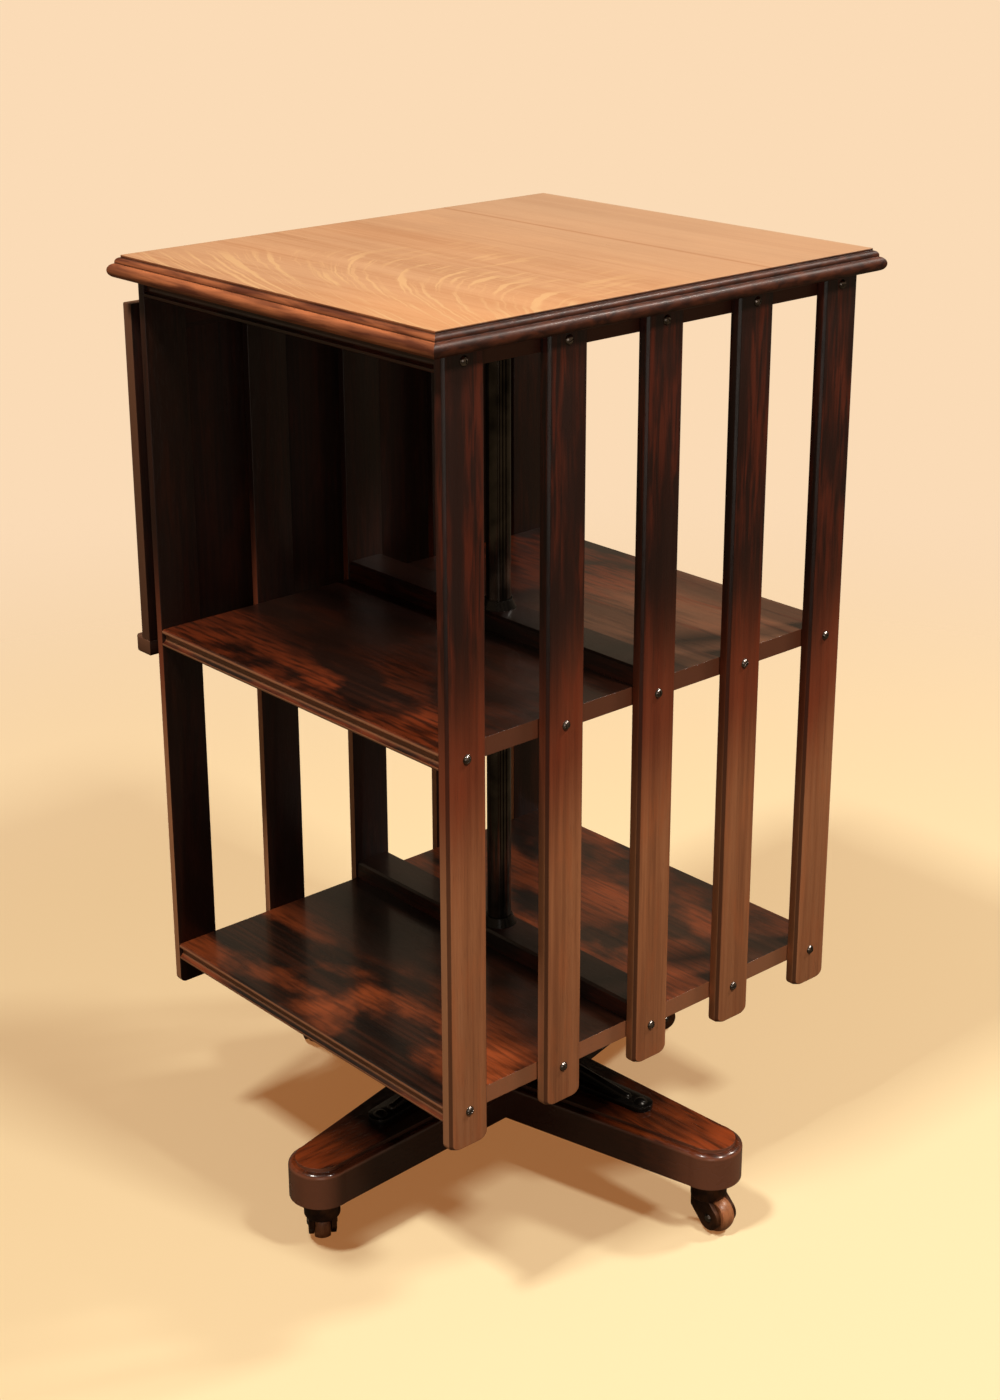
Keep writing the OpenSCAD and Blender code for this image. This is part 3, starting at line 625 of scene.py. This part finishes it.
@dataclass(frozen=True)
class FiguredTop(OakFinish):
    """Golden quartered oak of the top, with ray flecks, joints, a dark edge, painted sheen towards the back
    and painted light on the front corner.
    """

    relief_depth: float = 0.2 * MM
    relief_share: float = 0.35
    joints: tuple[float, ...] = (-79 * MM, 112 * MM)
    board_jump: Triple = (1.37, 2.11, 0.83)
    seam_rise: Rise = (3.2 * MM, 0.4 * MM)
    seam_share: float = 0.7
    flat_ends: tuple[Rise, Rise] = ((201.7 * MM, 202.2 * MM), (238.7 * MM, 239.2 * MM))
    flat_height: float = 839.4 * MM
    # Painted sheen towards the back of the top.
    back_sheen: Colour = srgb(240, 192, 152)
    back_sheen_rise: Rise = (-40 * MM, 200 * MM)
    back_sheen_share: float = 0.5
    # Painted light on the front corner.
    front_corner_light: Colour = srgb(255, 180, 120)
    front_corner_light_rise: Rise = (120 * MM, 420 * MM)
    front_corner_light_share: float = 0.6
    fleck: Colour = srgb(255, 198, 140)
    fleck_share: float = 0.95
    figure_top: float = -70 * MM
    figure_depth: float = 130 * MM
    figure_sweep: float = 160 * MM
    figure_curve: float = 2.2
    figure_lean: float = 0.9
    figure_sway: float = 14 * MM
    figure_side: Rise = (-40 * MM, 50 * MM)
    figure_span: Rise = (6 * MM, -8 * MM)
    sway: Pattern = Pattern((38, 38, 38), detail=2.0)
    bold: Pattern = Pattern((7, 85, 1), detail=1.5, bend=0.25, rise=(0.55, 0.61))
    fine: Pattern = Pattern((9, 170, 1), (1, 4, 0), detail=1.5, bend=0.2, rise=(0.54, 0.66))
    fine_share: float = 0.6
    gaps: Pattern = Pattern((17, 26, 1), (3, 1, 0), detail=2.0, rise=(0.36, 0.5))
    soft: Pattern = Pattern((14, 84, 1), (5, 2, 0), detail=2.0, bend=0.5, rise=(0.5, 0.64))
    soft_share: float = 0.6
    soft_side: Rise = (-120 * MM, -20 * MM)
    soft_back: Rise = (40 * MM, -30 * MM)
    soft_span: Rise = (-10 * MM, 0.0)
    short: Pattern = Pattern((34, 150, 150), detail=2.0, bend=0.6, turn=18, rise=(0.6, 0.72))
    short_fields: Pattern = Pattern((5, 7, 7), (0.9, 0.3, 0), detail=2.0, rise=(0.42, 0.6))
    short_share: float = 0.3
    edge_dark: Colour = srgb(112, 56, 34)
    edge_light: Colour = srgb(208, 122, 76)
    edge_streaks: Pattern = Pattern((16, 70, 200), detail=4.0, bend=0.3, rise=(0.4, 0.58))
    edge_stops: Rise = (0.36, 0.66)
    edge_polish: float = 0.05
    edge_dull: float = 0.14
    arris_rise: Rise = (0.03, 0.3)
    arris_share: float = 0.7
    end_grain: Colour = (0.17, 0.13, 0.125)
    mitre: Rise = (-0.05, 0.05)
    # Heights of the quirks, which get painted shade.
    quirks: tuple[float, ...] = (833.6 * MM, 838.1 * MM)
    quirk_dark: Colour = srgb(44, 20, 12)
    quirk_rise: Rise = (0.2 * MM, 0.7 * MM)
    quirk_share: float = 0.7

    def boards(self, shader: Shader, across: Socket) -> None:
        """Moves the patterns of each board away from its neighbours'.

        Args:
            shader: The material being made.
            across: Place across the joints.
        """
        number = shader.plus(*(shader.work_out("GREATER_THAN", across, joint) for joint in self.joints))
        jump = shader.join(*(shader.times(number, step) for step in self.board_jump))
        shader.place = shader.add("ShaderNodeVectorMath", shader.place, jump, operation="ADD").outputs[0]

    def flecks(self, shader: Shader) -> Socket:
        """Share of the light ray flecks, which start across the fibres and sweep round along them.

        Args:
            shader: The material being made.

        Returns:
            A value socket.
        """
        x, y, _ = shader.axes
        down = shader.work_out("DIVIDE", shader.minus(self.figure_top, y), self.figure_depth)
        sweep = shader.work_out("POWER", shader.largest(down, 0.0), self.figure_curve)
        lane = shader.minus(x, shader.times(sweep, self.figure_sweep))
        sway = shader.minus(shader.pattern(self.sway, shader.join(x, y)), NOISE_MIDDLE)
        flow = shader.join(y, shader.plus(lane, shader.times(sway, self.figure_sway)))
        lines = shader.times(
            shader.largest(
                shader.marks(self.bold, vector=flow), shader.marks(self.fine, self.fine_share, flow)
            ),
            shader.marks(self.gaps, vector=flow),
            shader.band(shader.minus(x, shader.times(y, self.figure_lean)), self.figure_side),
            shader.band(y, about(self.figure_top, self.figure_span)),
        )
        soft = shader.times(
            shader.marks(self.soft, self.soft_share, flow),
            shader.band(x, self.soft_side),
            shader.band(y, self.soft_back),
            shader.band(y, about(self.figure_top, self.soft_span)),
        )
        return shader.largest(lines, soft)

    def dashes(self, shader: Shader) -> Socket:
        """Share of the short faint flecks on the rest of the boards."""
        return shader.times(shader.marks(self.short), shader.marks(self.short_fields, self.short_share))

    def seam_line(self, shader: Shader, across: Socket) -> Socket:
        """Share of the soft dark line at the last joint, the only one that shows."""
        gap = shader.size(shader.minus(across, self.joints[-1]))
        return shader.times(shader.band(gap, self.seam_rise), self.seam_share)

    def rim(self, shader: Shader) -> Socket:
        """Share of the moulded edge round the flat of the top."""
        past = (shader.band(shader.size(place), ends) for place, ends in zip(shader.axes, self.flat_ends))
        return shader.largest(*past, shader.work_out("LESS_THAN", shader.axes[-1], self.flat_height))

    def moulding(self, shader: Shader, height: Socket) -> Socket:
        """Colour of the dark moulded edge, with painted shade in its quirks and rubbed on its arrises.

        Args:
            shader: The material being made.
            height: Height above the ground.

        Returns:
            A colour socket.
        """
        streaks = shader.pattern(self.edge_streaks)
        colour = shader.ramp(streaks, zip(self.edge_stops, (self.edge_dark, self.edge_light)))
        arris = shader.band(shader.edge, self.arris_rise, self.arris_share)
        worn = shader.times(arris, shader.band(streaks, self.edge_streaks.rise))
        colour = shader.mix(worn, colour, self.rubbed)
        across = shader.minus(shader.size(shader.facing(Axis.X)), shader.size(shader.facing(Axis.Y)))
        ends = shader.mix(1.0, colour, self.end_grain, "MULTIPLY")
        colour = shader.mix(shader.band(across, self.mitre), colour, ends)
        gaps = [shader.size(shader.minus(height, quirk)) for quirk in self.quirks]
        # Painted shade in the quirks.
        quirk_shade = shader.largest(*(shader.minus(1.0, shader.band(gap, self.quirk_rise)) for gap in gaps))
        return shader.mix(shader.times(quirk_shade, self.quirk_share), colour, self.quirk_dark)

    def material(self) -> bpy.types.Material:
        """Makes the material.

        Returns:
            The material.
        """
        shader = Shader(self.name, self.edge_reach, self.grain)
        x, y, z = shader.axes
        self.boards(shader, y)
        colour, height = self.wood(shader)
        colour = self.wear(shader, colour)
        # Painted sheen towards the back.
        colour = shader.mix(shader.band(y, self.back_sheen_rise, self.back_sheen_share), colour, self.back_sheen)
        # Painted light on the front corner.
        corner = shader.band(shader.minus(x, y), self.front_corner_light_rise, self.front_corner_light_share)
        colour = shader.mix(corner, colour, self.front_corner_light)
        figure = shader.largest(self.flecks(shader), self.dashes(shader))
        colour = shader.mix(shader.times(figure, self.fleck_share), colour, self.fleck)
        colour = shader.mix(self.seam_line(shader, y), colour, self.rubbed)
        rim = self.rim(shader)
        colour = shader.mix(rim, colour, self.moulding(shader, z))
        self.polished(shader, shader.times(rim, self.edge_dull))
        flat = shader.times(shader.minus(1.0, rim), self.polish - self.edge_polish)
        shader.set_surface(Base_Color=colour, Coat_Weight=shader.plus(flat, self.edge_polish))
        shader.relief(height, self.relief_depth, self.relief_share)
        return shader.material


@dataclass(frozen=True)
class MetalFinish:
    """Bare or blackened metal with a mottled skin."""

    name: str
    low: Colour
    high: Colour
    metallic: float = 1.0
    roughness: float = 0.35
    spread: float = 0.2
    mottle: float = 60.0
    mottle_detail: float = 5.0
    mottle_bend: float = 0.3
    mottle_stops: Rise = (0.36, 0.64)
    grit: float = 22.0
    pitting: float = 0.3
    pit_depth: float = 0.15 * MM
    rim: Colour | None = None
    rim_rise: Rise = (0.04, 0.3)
    rim_share: float = 0.7
    edge_reach: float = 0.6 * MM

    def material(self) -> bpy.types.Material:
        """Makes the material.

        Returns:
            The material.
        """
        shader = Shader(self.name, self.edge_reach)
        mottle = Pattern((self.mottle,) * 3, detail=self.mottle_detail, bend=self.mottle_bend)
        cloud = shader.pattern(mottle)
        grit = shader.pattern(Pattern((self.mottle * self.grit,) * 3))
        colour = shader.ramp(cloud, zip(self.mottle_stops, (self.low, self.high)))
        if self.rim is not None:
            colour = shader.mix(shader.band(shader.edge, self.rim_rise, self.rim_share), colour, self.rim)
        rough = shader.plus(self.roughness - self.spread / 2, shader.times(cloud, self.spread))
        shader.set_surface(Base_Color=colour, Roughness=rough, Metallic=self.metallic)
        shader.relief(grit, self.pit_depth, self.pitting)
        return shader.material


# Finishes of the pieces

RIGHT_OAK = SlatOak(
    "right_slat_oak",
    Grain.ALONG_Z,
    dark=srgb(158, 96, 61),
    middle=srgb(184, 116, 75),
    light=srgb(196, 128, 86),
    rubbed=srgb(198, 112, 66),
    rubbed_share=0.4,
    roughness=0.4,
    polish=0.2,
    edge_wear=0.2,
    broad=Axis.X,
    lit_narrow=srgb(222, 152, 106),
)
# Painted shade: the left side keeps darker heads and inward faces than the right.
SHADED_LEFT_OAK = replace(
    RIGHT_OAK,
    name="shaded_left_slat_oak",
    side=Side.LEFT,
    shaded_head_dark=(0.04, 0.03, 0.036),
    shaded_head_red=(0.085, 0.052, 0.05),
)
# Painted shade: the flap, ledge and hinge rail are kept dark all over, at the level of the shaded slat heads,
# with painted light on their edge faces.
SHADED_FLAP_OAK = OakFinish(
    "shaded_flap_oak",
    Grain.ALONG_Z,
    dark=srgb(30, 15, 10),
    middle=srgb(48, 24, 15),
    light=srgb(64, 33, 20),
    rubbed=srgb(110, 48, 26),
    rubbed_share=0.2,
    roughness=0.5,
    polish=0.1,
    polish_roughness=0.35,
    broad=Axis.X,
    lit_narrow=srgb(136, 90, 64),
)
SHADED_LEDGE_OAK = replace(SHADED_FLAP_OAK, name="shaded_ledge_oak", grain=Grain.ALONG_Y)
SHELF_OAK = ShelfOak(
    "shelf_oak",
    Grain.ALONG_X,
    dark=srgb(22, 12, 9),
    middle=srgb(38, 20, 13),
    light=srgb(62, 31, 19),
    rubbed=srgb(146, 62, 29),
    rubbed_share=0.75,
    patches=rubbed_patches((12, 26, 26), 0.43),
    fibre_cut=0.85,
    roughness=0.34,
    polish=0.45,
    polish_roughness=0.14,
    lit_narrow=srgb(190, 125, 86),
    lit_narrow_share=0.82,
)
# Painted light: a lighter and more rubbed copy for the bottom shelf, with its own patches and less painted
# shade.
LIT_LOW_OAK = replace(
    SHELF_OAK,
    name="lit_low_shelf_oak",
    dark=srgb(18, 10, 8),
    middle=srgb(32, 17, 11),
    light=srgb(66, 33, 20),
    rubbed=srgb(166, 78, 38),
    rubbed_share=0.85,
    patches=rubbed_patches((9, 16, 16), 0.46),
    fibre_cut=0.5,
    shade_half=40 * MM,
    rubbed_half=105 * MM,
    far_light_share=0.12,
    end_lighting_share=0.2,
)
# Painted shade: a less rubbed copy with darker edge faces, for the carcass top under the top board.
SHADED_HEAD_OAK = replace(SHELF_OAK, name="shaded_head_oak", rubbed_share=0.3, lit_narrow=srgb(96, 66, 46), lit_narrow_share=0.45)
RAIL_OAK = replace(SHELF_OAK, name="rail_oak", rubbed_share=0.3, lit_narrow=None)
BASE_OAK = ArmOak(
    "base_oak",
    Grain.ALONG_X,
    dark=srgb(38, 17, 10),
    middle=srgb(74, 33, 16),
    light=srgb(108, 49, 22),
    rubbed=srgb(146, 64, 26),
    rubbed_share=0.6,
    patches=rubbed_patches((9, 32, 32)),
    roughness=0.26,
    polish=0.6,
    polish_roughness=0.08,
)
# The painted shadow of the case reaches further out on this arm.
CROSS_OAK = replace(BASE_OAK, name="cross_oak", grain=Grain.ALONG_Y, case_shadow=(232 * MM, 190 * MM))
TOP_OAK = FiguredTop(
    "top_oak",
    Grain.ALONG_X,
    dark=srgb(222, 155, 106),
    middle=srgb(236, 174, 126),
    light=srgb(244, 183, 134),
    rubbed=srgb(208, 140, 93),
    rubbed_share=0.18,
    patches=rubbed_patches((5, 13, 13)),
    roughness=0.32,
    polish=0.5,
    polish_roughness=0.08,
    edge_wear=0.2,
)
WHEEL_OAK = OakFinish(
    "wheel_oak",
    Grain.ALONG_Z,
    dark=srgb(116, 62, 34),
    middle=srgb(182, 110, 68),
    light=srgb(206, 134, 86),
    rubbed=srgb(216, 148, 98),
    roughness=0.42,
    polish=0.2,
    polish_roughness=0.25,
)
BLACK_IRON = MetalFinish(
    "black_iron",
    srgb(16, 14, 13),
    srgb(40, 35, 31),
    metallic=0.6,
    roughness=0.26,
    rim=srgb(84, 76, 68),
)
POST_STEEL = MetalFinish(
    "post_steel",
    srgb(54, 50, 46),
    srgb(108, 100, 92),
    metallic=0.95,
    roughness=0.14,
    spread=0.08,
    mottle=30.0,
    pitting=0.05,
)
SCREW_STEEL = MetalFinish(
    "screw_steel",
    srgb(92, 84, 80),
    srgb(150, 140, 134),
    roughness=0.2,
    spread=0.14,
    mottle=300.0,
    pitting=0.1,
)
HORN_BRASS = MetalFinish(
    "horn_brass",
    srgb(52, 28, 16),
    srgb(104, 62, 36),
    metallic=0.5,
    roughness=0.4,
    spread=0.22,
    mottle=70.0,
    pitting=0.4,
    rim=srgb(140, 92, 56),
)
Finish = OakFinish | MetalFinish


@functools.cache
def paint(finish: Finish) -> bpy.types.Material:
    """Makes the material of a finish once."""
    return finish.material()


def dress(finish: Finish, *names: str) -> None:
    """Gives one finish to solids.

    Args:
        finish: The finish.
        names: Names of the solids.
    """
    for name in names:
        mesh = NODES[name].data
        mesh.materials.clear()
        mesh.materials.append(paint(finish))
        LOG.info("dressed %s in %s", name, finish.name)


class Bench:
    """Ways to shape one piece with Blender's own operators."""

    weld: float = 0.002 * MM
    flat_angle: float = math.radians(0.4)
    smooth_angle: float = math.radians(40)

    @staticmethod
    def clear() -> None:
        """Leaves edit mode and deselects every object."""
        if bpy.context.mode != "OBJECT":
            bpy.ops.object.mode_set(mode="OBJECT")
        bpy.ops.object.select_all(action="DESELECT")

    @classmethod
    def take(cls, piece: bpy.types.Object) -> None:
        """Makes one object the only selected one.

        Args:
            piece: The object.
        """
        cls.clear()
        piece.select_set(True)
        bpy.context.view_layer.objects.active = piece

    @classmethod
    def block(cls, name: str, low: Vector, high: Vector) -> bpy.types.Object:
        """Models a plain block between two corners.

        Args:
            name: Name of the piece.
            low: Lowest corner.
            high: Highest corner.

        Returns:
            The block, with its place in its mesh.
        """
        cls.clear()
        bpy.ops.mesh.primitive_cube_add(size=1.0)
        piece = bpy.context.object
        piece.name = name
        bpy.ops.object.mode_set(mode="EDIT")
        bpy.ops.mesh.select_all(action="SELECT")
        bpy.ops.transform.resize(value=high - low)
        bpy.ops.transform.translate(value=(low + high) / 2)
        bpy.ops.object.mode_set(mode="OBJECT")
        return piece

    @classmethod
    def bevel(
        cls, piece: bpy.types.Object, width: float, steps: int, chosen: Callable[[Vector, Vector], bool]
    ) -> None:
        """Bevels the edges that a rule chooses.

        Args:
            piece: The piece.
            width: Width of the bevel.
            steps: Segments across it.
            chosen: Rule that is given the two ends of an edge.
        """
        cls.take(piece)
        bpy.ops.object.mode_set(mode="EDIT")
        bpy.ops.mesh.select_all(action="DESELECT")
        bpy.ops.mesh.select_mode(type="EDGE")
        bpy.ops.object.mode_set(mode="OBJECT")
        spots = piece.data.vertices
        for edge in piece.data.edges:
            edge.select = chosen(spots[edge.vertices[0]].co, spots[edge.vertices[1]].co)
        bpy.ops.object.mode_set(mode="EDIT")
        bpy.ops.mesh.bevel(offset=width, segments=steps, affect="EDGES")
        bpy.ops.object.mode_set(mode="OBJECT")

    @classmethod
    def copy_solid(cls, node: str) -> bpy.types.Object:
        """Copies a solid and joins its loose triangles.

        Args:
            node: Name of the solid.

        Returns:
            The copy, free of its body.
        """
        piece = NODES[node].copy()
        piece.data = NODES[node].data.copy()
        piece.parent = None
        piece.name = f"{node}_soft"
        for key in list(piece.keys()):
            del piece[key]
        bpy.context.scene.collection.objects.link(piece)
        cls.take(piece)
        bpy.ops.mesh.customdata_custom_splitnormals_clear()
        bpy.ops.object.mode_set(mode="EDIT")
        bpy.ops.mesh.select_all(action="SELECT")
        bpy.ops.mesh.remove_doubles(threshold=cls.weld)
        bpy.ops.mesh.dissolve_limited(angle_limit=cls.flat_angle)
        bpy.ops.mesh.normals_make_consistent(inside=False)
        bpy.ops.object.mode_set(mode="OBJECT")
        return piece

    @classmethod
    def soften(cls, piece: bpy.types.Object, width: float, steps: int = 2, angle: float = 32.0) -> None:
        """Rounds every sharp edge a little and smooths the rest.

        Args:
            piece: The piece.
            width: Width of the rounding.
            steps: Segments across it.
            angle: Angle in degrees from which an edge is sharp.
        """
        cls.take(piece)
        rule = piece.modifiers.new("arris", "BEVEL")
        rule.width = width
        rule.segments = steps
        rule.limit_method = "ANGLE"
        rule.angle_limit = math.radians(angle)
        bpy.ops.object.modifier_apply(modifier=rule.name)
        bpy.ops.object.shade_smooth_by_angle(angle=cls.smooth_angle)

    @staticmethod
    def place(piece: bpy.types.Object, finish: Finish, slot: str, body: str, *nodes: str) -> None:
        """Dresses a finished piece and puts it in place of solids.

        Args:
            piece: The piece.
            finish: Its finish.
            slot: Not used.
            body: The body that it moves with.
            nodes: The solids that it stands for.
        """
        piece.data.materials.clear()
        piece.data.materials.append(paint(finish))
        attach(piece, body)
        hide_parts(*nodes)
        LOG.info("placed %s on %s", piece.name, body)

    @classmethod
    def soften_solid(cls, node: str, width: float, finish: Finish, slot: str, body: str) -> None:
        """Puts a softened copy in place of a solid.

        Args:
            node: Name of the solid.
            width: Width of the rounding.
            finish: Finish of the copy.
            slot: Passed on to place, which does not use it.
            body: The body that it moves with.
        """
        piece = cls.copy_solid(node)
        cls.soften(piece, width)
        cls.place(piece, finish, slot, body, node)


@dataclass
class Top:
    """Moulded top board."""

    node: str = "top_board"

    def build(self) -> None:
        """Dresses the board."""
        dress(TOP_OAK, self.node)


@dataclass
class Case:
    """Shelves, rails and the bearings of the turning case."""

    head: str = "carcass_top"
    middle: str = "middle_shelf"
    bottom: str = "bottom_shelf"
    rails: tuple[str, ...] = ("middle_rail", "bottom_rail")
    bearings: tuple[str, ...] = ("middle_bush", "bottom_bush", "pivot_cup")

    def build(self) -> None:
        """Dresses the boards and bearings."""
        dress(SHADED_HEAD_OAK, self.head)
        dress(SHELF_OAK, self.middle)
        dress(LIT_LOW_OAK, self.bottom)
        dress(RAIL_OAK, *self.rails)
        dress(BLACK_IRON, *self.bearings)


@dataclass
class SlatRow:
    """Five screwed slats of one side."""

    side: Side
    count: int = 5
    chamfer: float = 2.5 * MM
    chamfer_steps: int = 1
    corner: float = 6 * MM
    corner_steps: int = 6
    arris: float = 0.6 * MM
    arris_steps: int = 3
    arris_angle: float = 28.0
    near: float = 0.01 * MM

    def finish(self) -> OakFinish:
        """Finish whose painted light pales the outer faces of this side."""
        return RIGHT_OAK if self.side is Side.RIGHT else SHADED_LEFT_OAK

    def slat(self, node: str) -> bpy.types.Object:
        """Models one slat: chamfered outer edges, rounded foot and soft arrises.

        Args:
            node: Name of the solid that gives its size and place.

        Returns:
            The slat.
        """
        low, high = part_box(node)
        outer = high.x if self.side is Side.RIGHT else low.x
        piece = Bench.block("slat", low, high)

        def same(*values: float) -> bool:
            """Whether values lie together."""
            return max(values) - min(values) < self.near

        def outside(first: Vector, second: Vector) -> bool:
            """Whether an edge runs up the outer face."""
            return same(first.x, second.x, outer) and same(first.y, second.y)

        def foot(first: Vector, second: Vector) -> bool:
            """Whether an edge runs through the thickness at the foot."""
            return same(first.z, second.z, low.z) and not same(first.x, second.x)

        Bench.bevel(piece, self.chamfer, self.chamfer_steps, outside)
        Bench.bevel(piece, self.corner, self.corner_steps, foot)
        Bench.soften(piece, self.arris, self.arris_steps, self.arris_angle)
        return piece

    def build(self) -> None:
        """Models the first slat, copies it along the row and dresses the screws."""
        names = [f"slat_{self.side.word}_{number}" for number in range(1, self.count + 1)]
        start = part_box(names[0])[0]
        first = self.slat(names[0])
        for name in names:
            piece = first.copy()
            piece.data = first.data.copy()
            piece.data.transform(Matrix.Translation(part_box(name)[0] - start))
            piece.name = f"{name}_wood"
            bpy.context.scene.collection.objects.link(piece)
            Bench.place(piece, self.finish(), "oak_case", "case", name)
        bpy.data.objects.remove(first)
        dress(SCREW_STEEL, f"slat_screws_{self.side.word}")


@dataclass
class Flap:
    """Hinged book flap, its ledge and its hinges."""

    arris: float = 0.8 * MM

    def build(self) -> None:
        """Softens the flap and dresses what carries it."""
        Bench.soften_solid("flap_board", self.arris, SHADED_FLAP_OAK, "oak_case", "flap")
        Bench.soften_solid("flap_ledge", self.arris, SHADED_LEDGE_OAK, "oak_case", "flap")
        dress(SHADED_LEDGE_OAK, "hinge_rail")
        dress(HORN_BRASS, "hinge_fixed_leaves", "hinge_moving_leaves")
        dress(SCREW_STEEL, "hinge_pins")


@dataclass
class Base:
    """Cross base with its iron spider and post."""

    casting_edge: float = 0.9 * MM

    def build(self) -> None:
        """Softens the casting and dresses the beams and post."""
        dress(CROSS_OAK, "base_beam_lower")
        dress(BASE_OAK, "base_beam_upper")
        Bench.soften_solid("iron_spider", self.casting_edge, BLACK_IRON, "iron", "base")
        dress(POST_STEEL, "centre_post")
        dress(BLACK_IRON, "spider_screws", "castor_sockets")
        dress(SCREW_STEEL, "post_washer", "post_nut")


@dataclass
class Castor:
    """One swivel castor."""

    number: int
    casting_edge: float = 0.5 * MM
    wheel_edge: float = 0.8 * MM

    def build(self) -> None:
        """Softens the horn and wheel and dresses the axle."""
        horn, wheel = f"castor_horn_{self.number}", f"castor_wheel_{self.number}"
        Bench.soften_solid(horn, self.casting_edge, HORN_BRASS, "brass", f"castor_{self.number}")
        Bench.soften_solid(wheel, self.wheel_edge, WHEEL_OAK, "wheel_wood", f"wheel_{self.number}")
        dress(SCREW_STEEL, f"castor_axle_{self.number}")


@dataclass(frozen=True)
class Lamp:
    """Soft square studio lamp aimed at a point."""

    name: str
    place: Triple
    width: float
    power: float
    aim: Triple = (0, 0, 0.4)
    colour: Colour = (1.0, 0.94, 0.85)

    def build(self) -> None:
        """Adds the lamp."""
        data = bpy.data.lights.new(self.name, "AREA")
        data.shape = "SQUARE"
        data.size = self.width
        data.energy = self.power
        data.color = self.colour
        lamp = bpy.data.objects.new(self.name, data)
        lamp.location = self.place
        aim = Vector(self.aim) - Vector(self.place)
        lamp.rotation_euler = aim.to_track_quat("-Z", "Y").to_euler()
        bpy.context.scene.collection.objects.link(lamp)


@dataclass
class Studio:
    """Pale floor, soft lamps and the camera of the photograph."""

    floor_radius: float = 9.0
    floor_sides: int = 96
    floor_fade: Rise = (0.55, 2.2)
    floor_colour: Colour = srgb(228, 219, 180)
    floor_bounce: Colour = srgb(88, 78, 62)
    floor_warmth: Colour = srgb(255, 165, 95)
    floor_glow: float = 0.3
    floor_roughness: float = 0.95
    floor_shine: float = 0.1
    sky_colour: Colour = srgb(251, 219, 182)
    sky_fill: float = 0.015
    sky_shine: float = 0.22
    lens: float = 58.33
    sensor: float = 36.0
    shift_x: float = 0.0182
    shift_y: float = -0.0533
    eye: Triple = (1.4042, -1.2517, 1.1809)
    azimuth: float = 48.93
    elevation: float = 19.63
    roll: float = -0.36
    lamps: tuple[Lamp, ...] = (
        Lamp("front", (0.1, -2.16, 4.5), width=0.5, power=122.0),
        Lamp("right", (3.0, 0.3, 4.2), width=0.6, power=112.0),
        Lamp("back", (1.4, 2.86, 3.6), width=0.6, power=80.0),
        Lamp("low", (3.0, -2.5, 0.95), width=1.7, power=9.0, aim=(0, 0, 0.2)),
    )

    def floor(self) -> None:
        """Lays a round floor that fades into the pale room."""
        bpy.ops.object.select_all(action="DESELECT")
        bpy.ops.mesh.primitive_circle_add(
            vertices=self.floor_sides, radius=self.floor_radius, fill_type="NGON"
        )
        plane = bpy.context.object
        plane.name = "floor"
        shader = Shader("floor_cloth")
        seen = shader.add("ShaderNodeLightPath").outputs["Is Camera Ray"]
        reach = shader.add("ShaderNodeVectorMath", shader.place, operation="LENGTH")
        fade = shader.band(reach.outputs["Value"], self.floor_fade)
        shader.set_surface(
            Base_Color=shader.mix(seen, self.floor_bounce, self.floor_colour),
            Roughness=self.floor_roughness,
            Specular_IOR_Level=self.floor_shine,
            Emission_Color=self.floor_warmth,
            Emission_Strength=shader.times(seen, self.floor_glow),
            Alpha=shader.minus(1.0, shader.times(fade, seen)),
        )
        plane.data.materials.append(shader.material)

    def sky(self) -> None:
        """Sets a pale world that lights softly and shows plainly behind the part."""
        world = bpy.data.worlds.new("pale_room")
        bpy.context.scene.world = world
        world.use_nodes = True
        tree = Tree(world.node_tree)
        rays = tree.add("ShaderNodeLightPath").outputs
        dim = tree.plus(self.sky_fill, tree.times(rays["Is Glossy Ray"], self.sky_shine - self.sky_fill))
        seen = tree.largest(rays["Is Camera Ray"], rays["Is Transmission Ray"])
        strength = tree.plus(dim, tree.times(seen, tree.minus(1.0, dim)))
        back = tree.add("ShaderNodeBackground", self.sky_colour, strength)
        tree.add("ShaderNodeOutputWorld", back.outputs[0])

    def camera(self) -> None:
        """Sets the camera where the photograph was taken from."""
        data = bpy.data.cameras.new("camera")
        data.lens = self.lens
        data.sensor_width = self.sensor
        data.shift_x = self.shift_x
        data.shift_y = self.shift_y
        eye = bpy.data.objects.new("camera", data)
        eye.location = self.eye
        turn, tilt = math.radians(self.azimuth), math.radians(self.elevation)
        back = Vector((math.sin(turn) * math.cos(tilt), -math.cos(turn) * math.cos(tilt), math.sin(tilt)))
        look = (-back).to_track_quat("-Z", "Y").to_matrix()
        spin = Matrix.Rotation(math.radians(self.roll), 3, "Z")
        eye.rotation_euler = (look @ spin).to_euler()
        bpy.context.scene.collection.objects.link(eye)
        bpy.context.scene.camera = eye

    def build(self) -> None:
        """Sets up the floor, light and camera."""
        bpy.context.scene.view_settings.view_transform = "Standard"
        self.floor()
        self.sky()
        for lamp in self.lamps:
            lamp.build()
        self.camera()


def main() -> None:
    """Builds every sub-assembly and the studio, in order."""
    logging.basicConfig(level=logging.INFO)
    parts = [Top(), Case(), SlatRow(Side.RIGHT), SlatRow(Side.LEFT), Flap(), Base()]
    parts += [Castor(number) for number in CASTOR_NUMBERS]
    for part in parts:
        part.build()
        LOG.info("built %s", part)
    Studio().build()


if __name__ == "__main__":
    main()
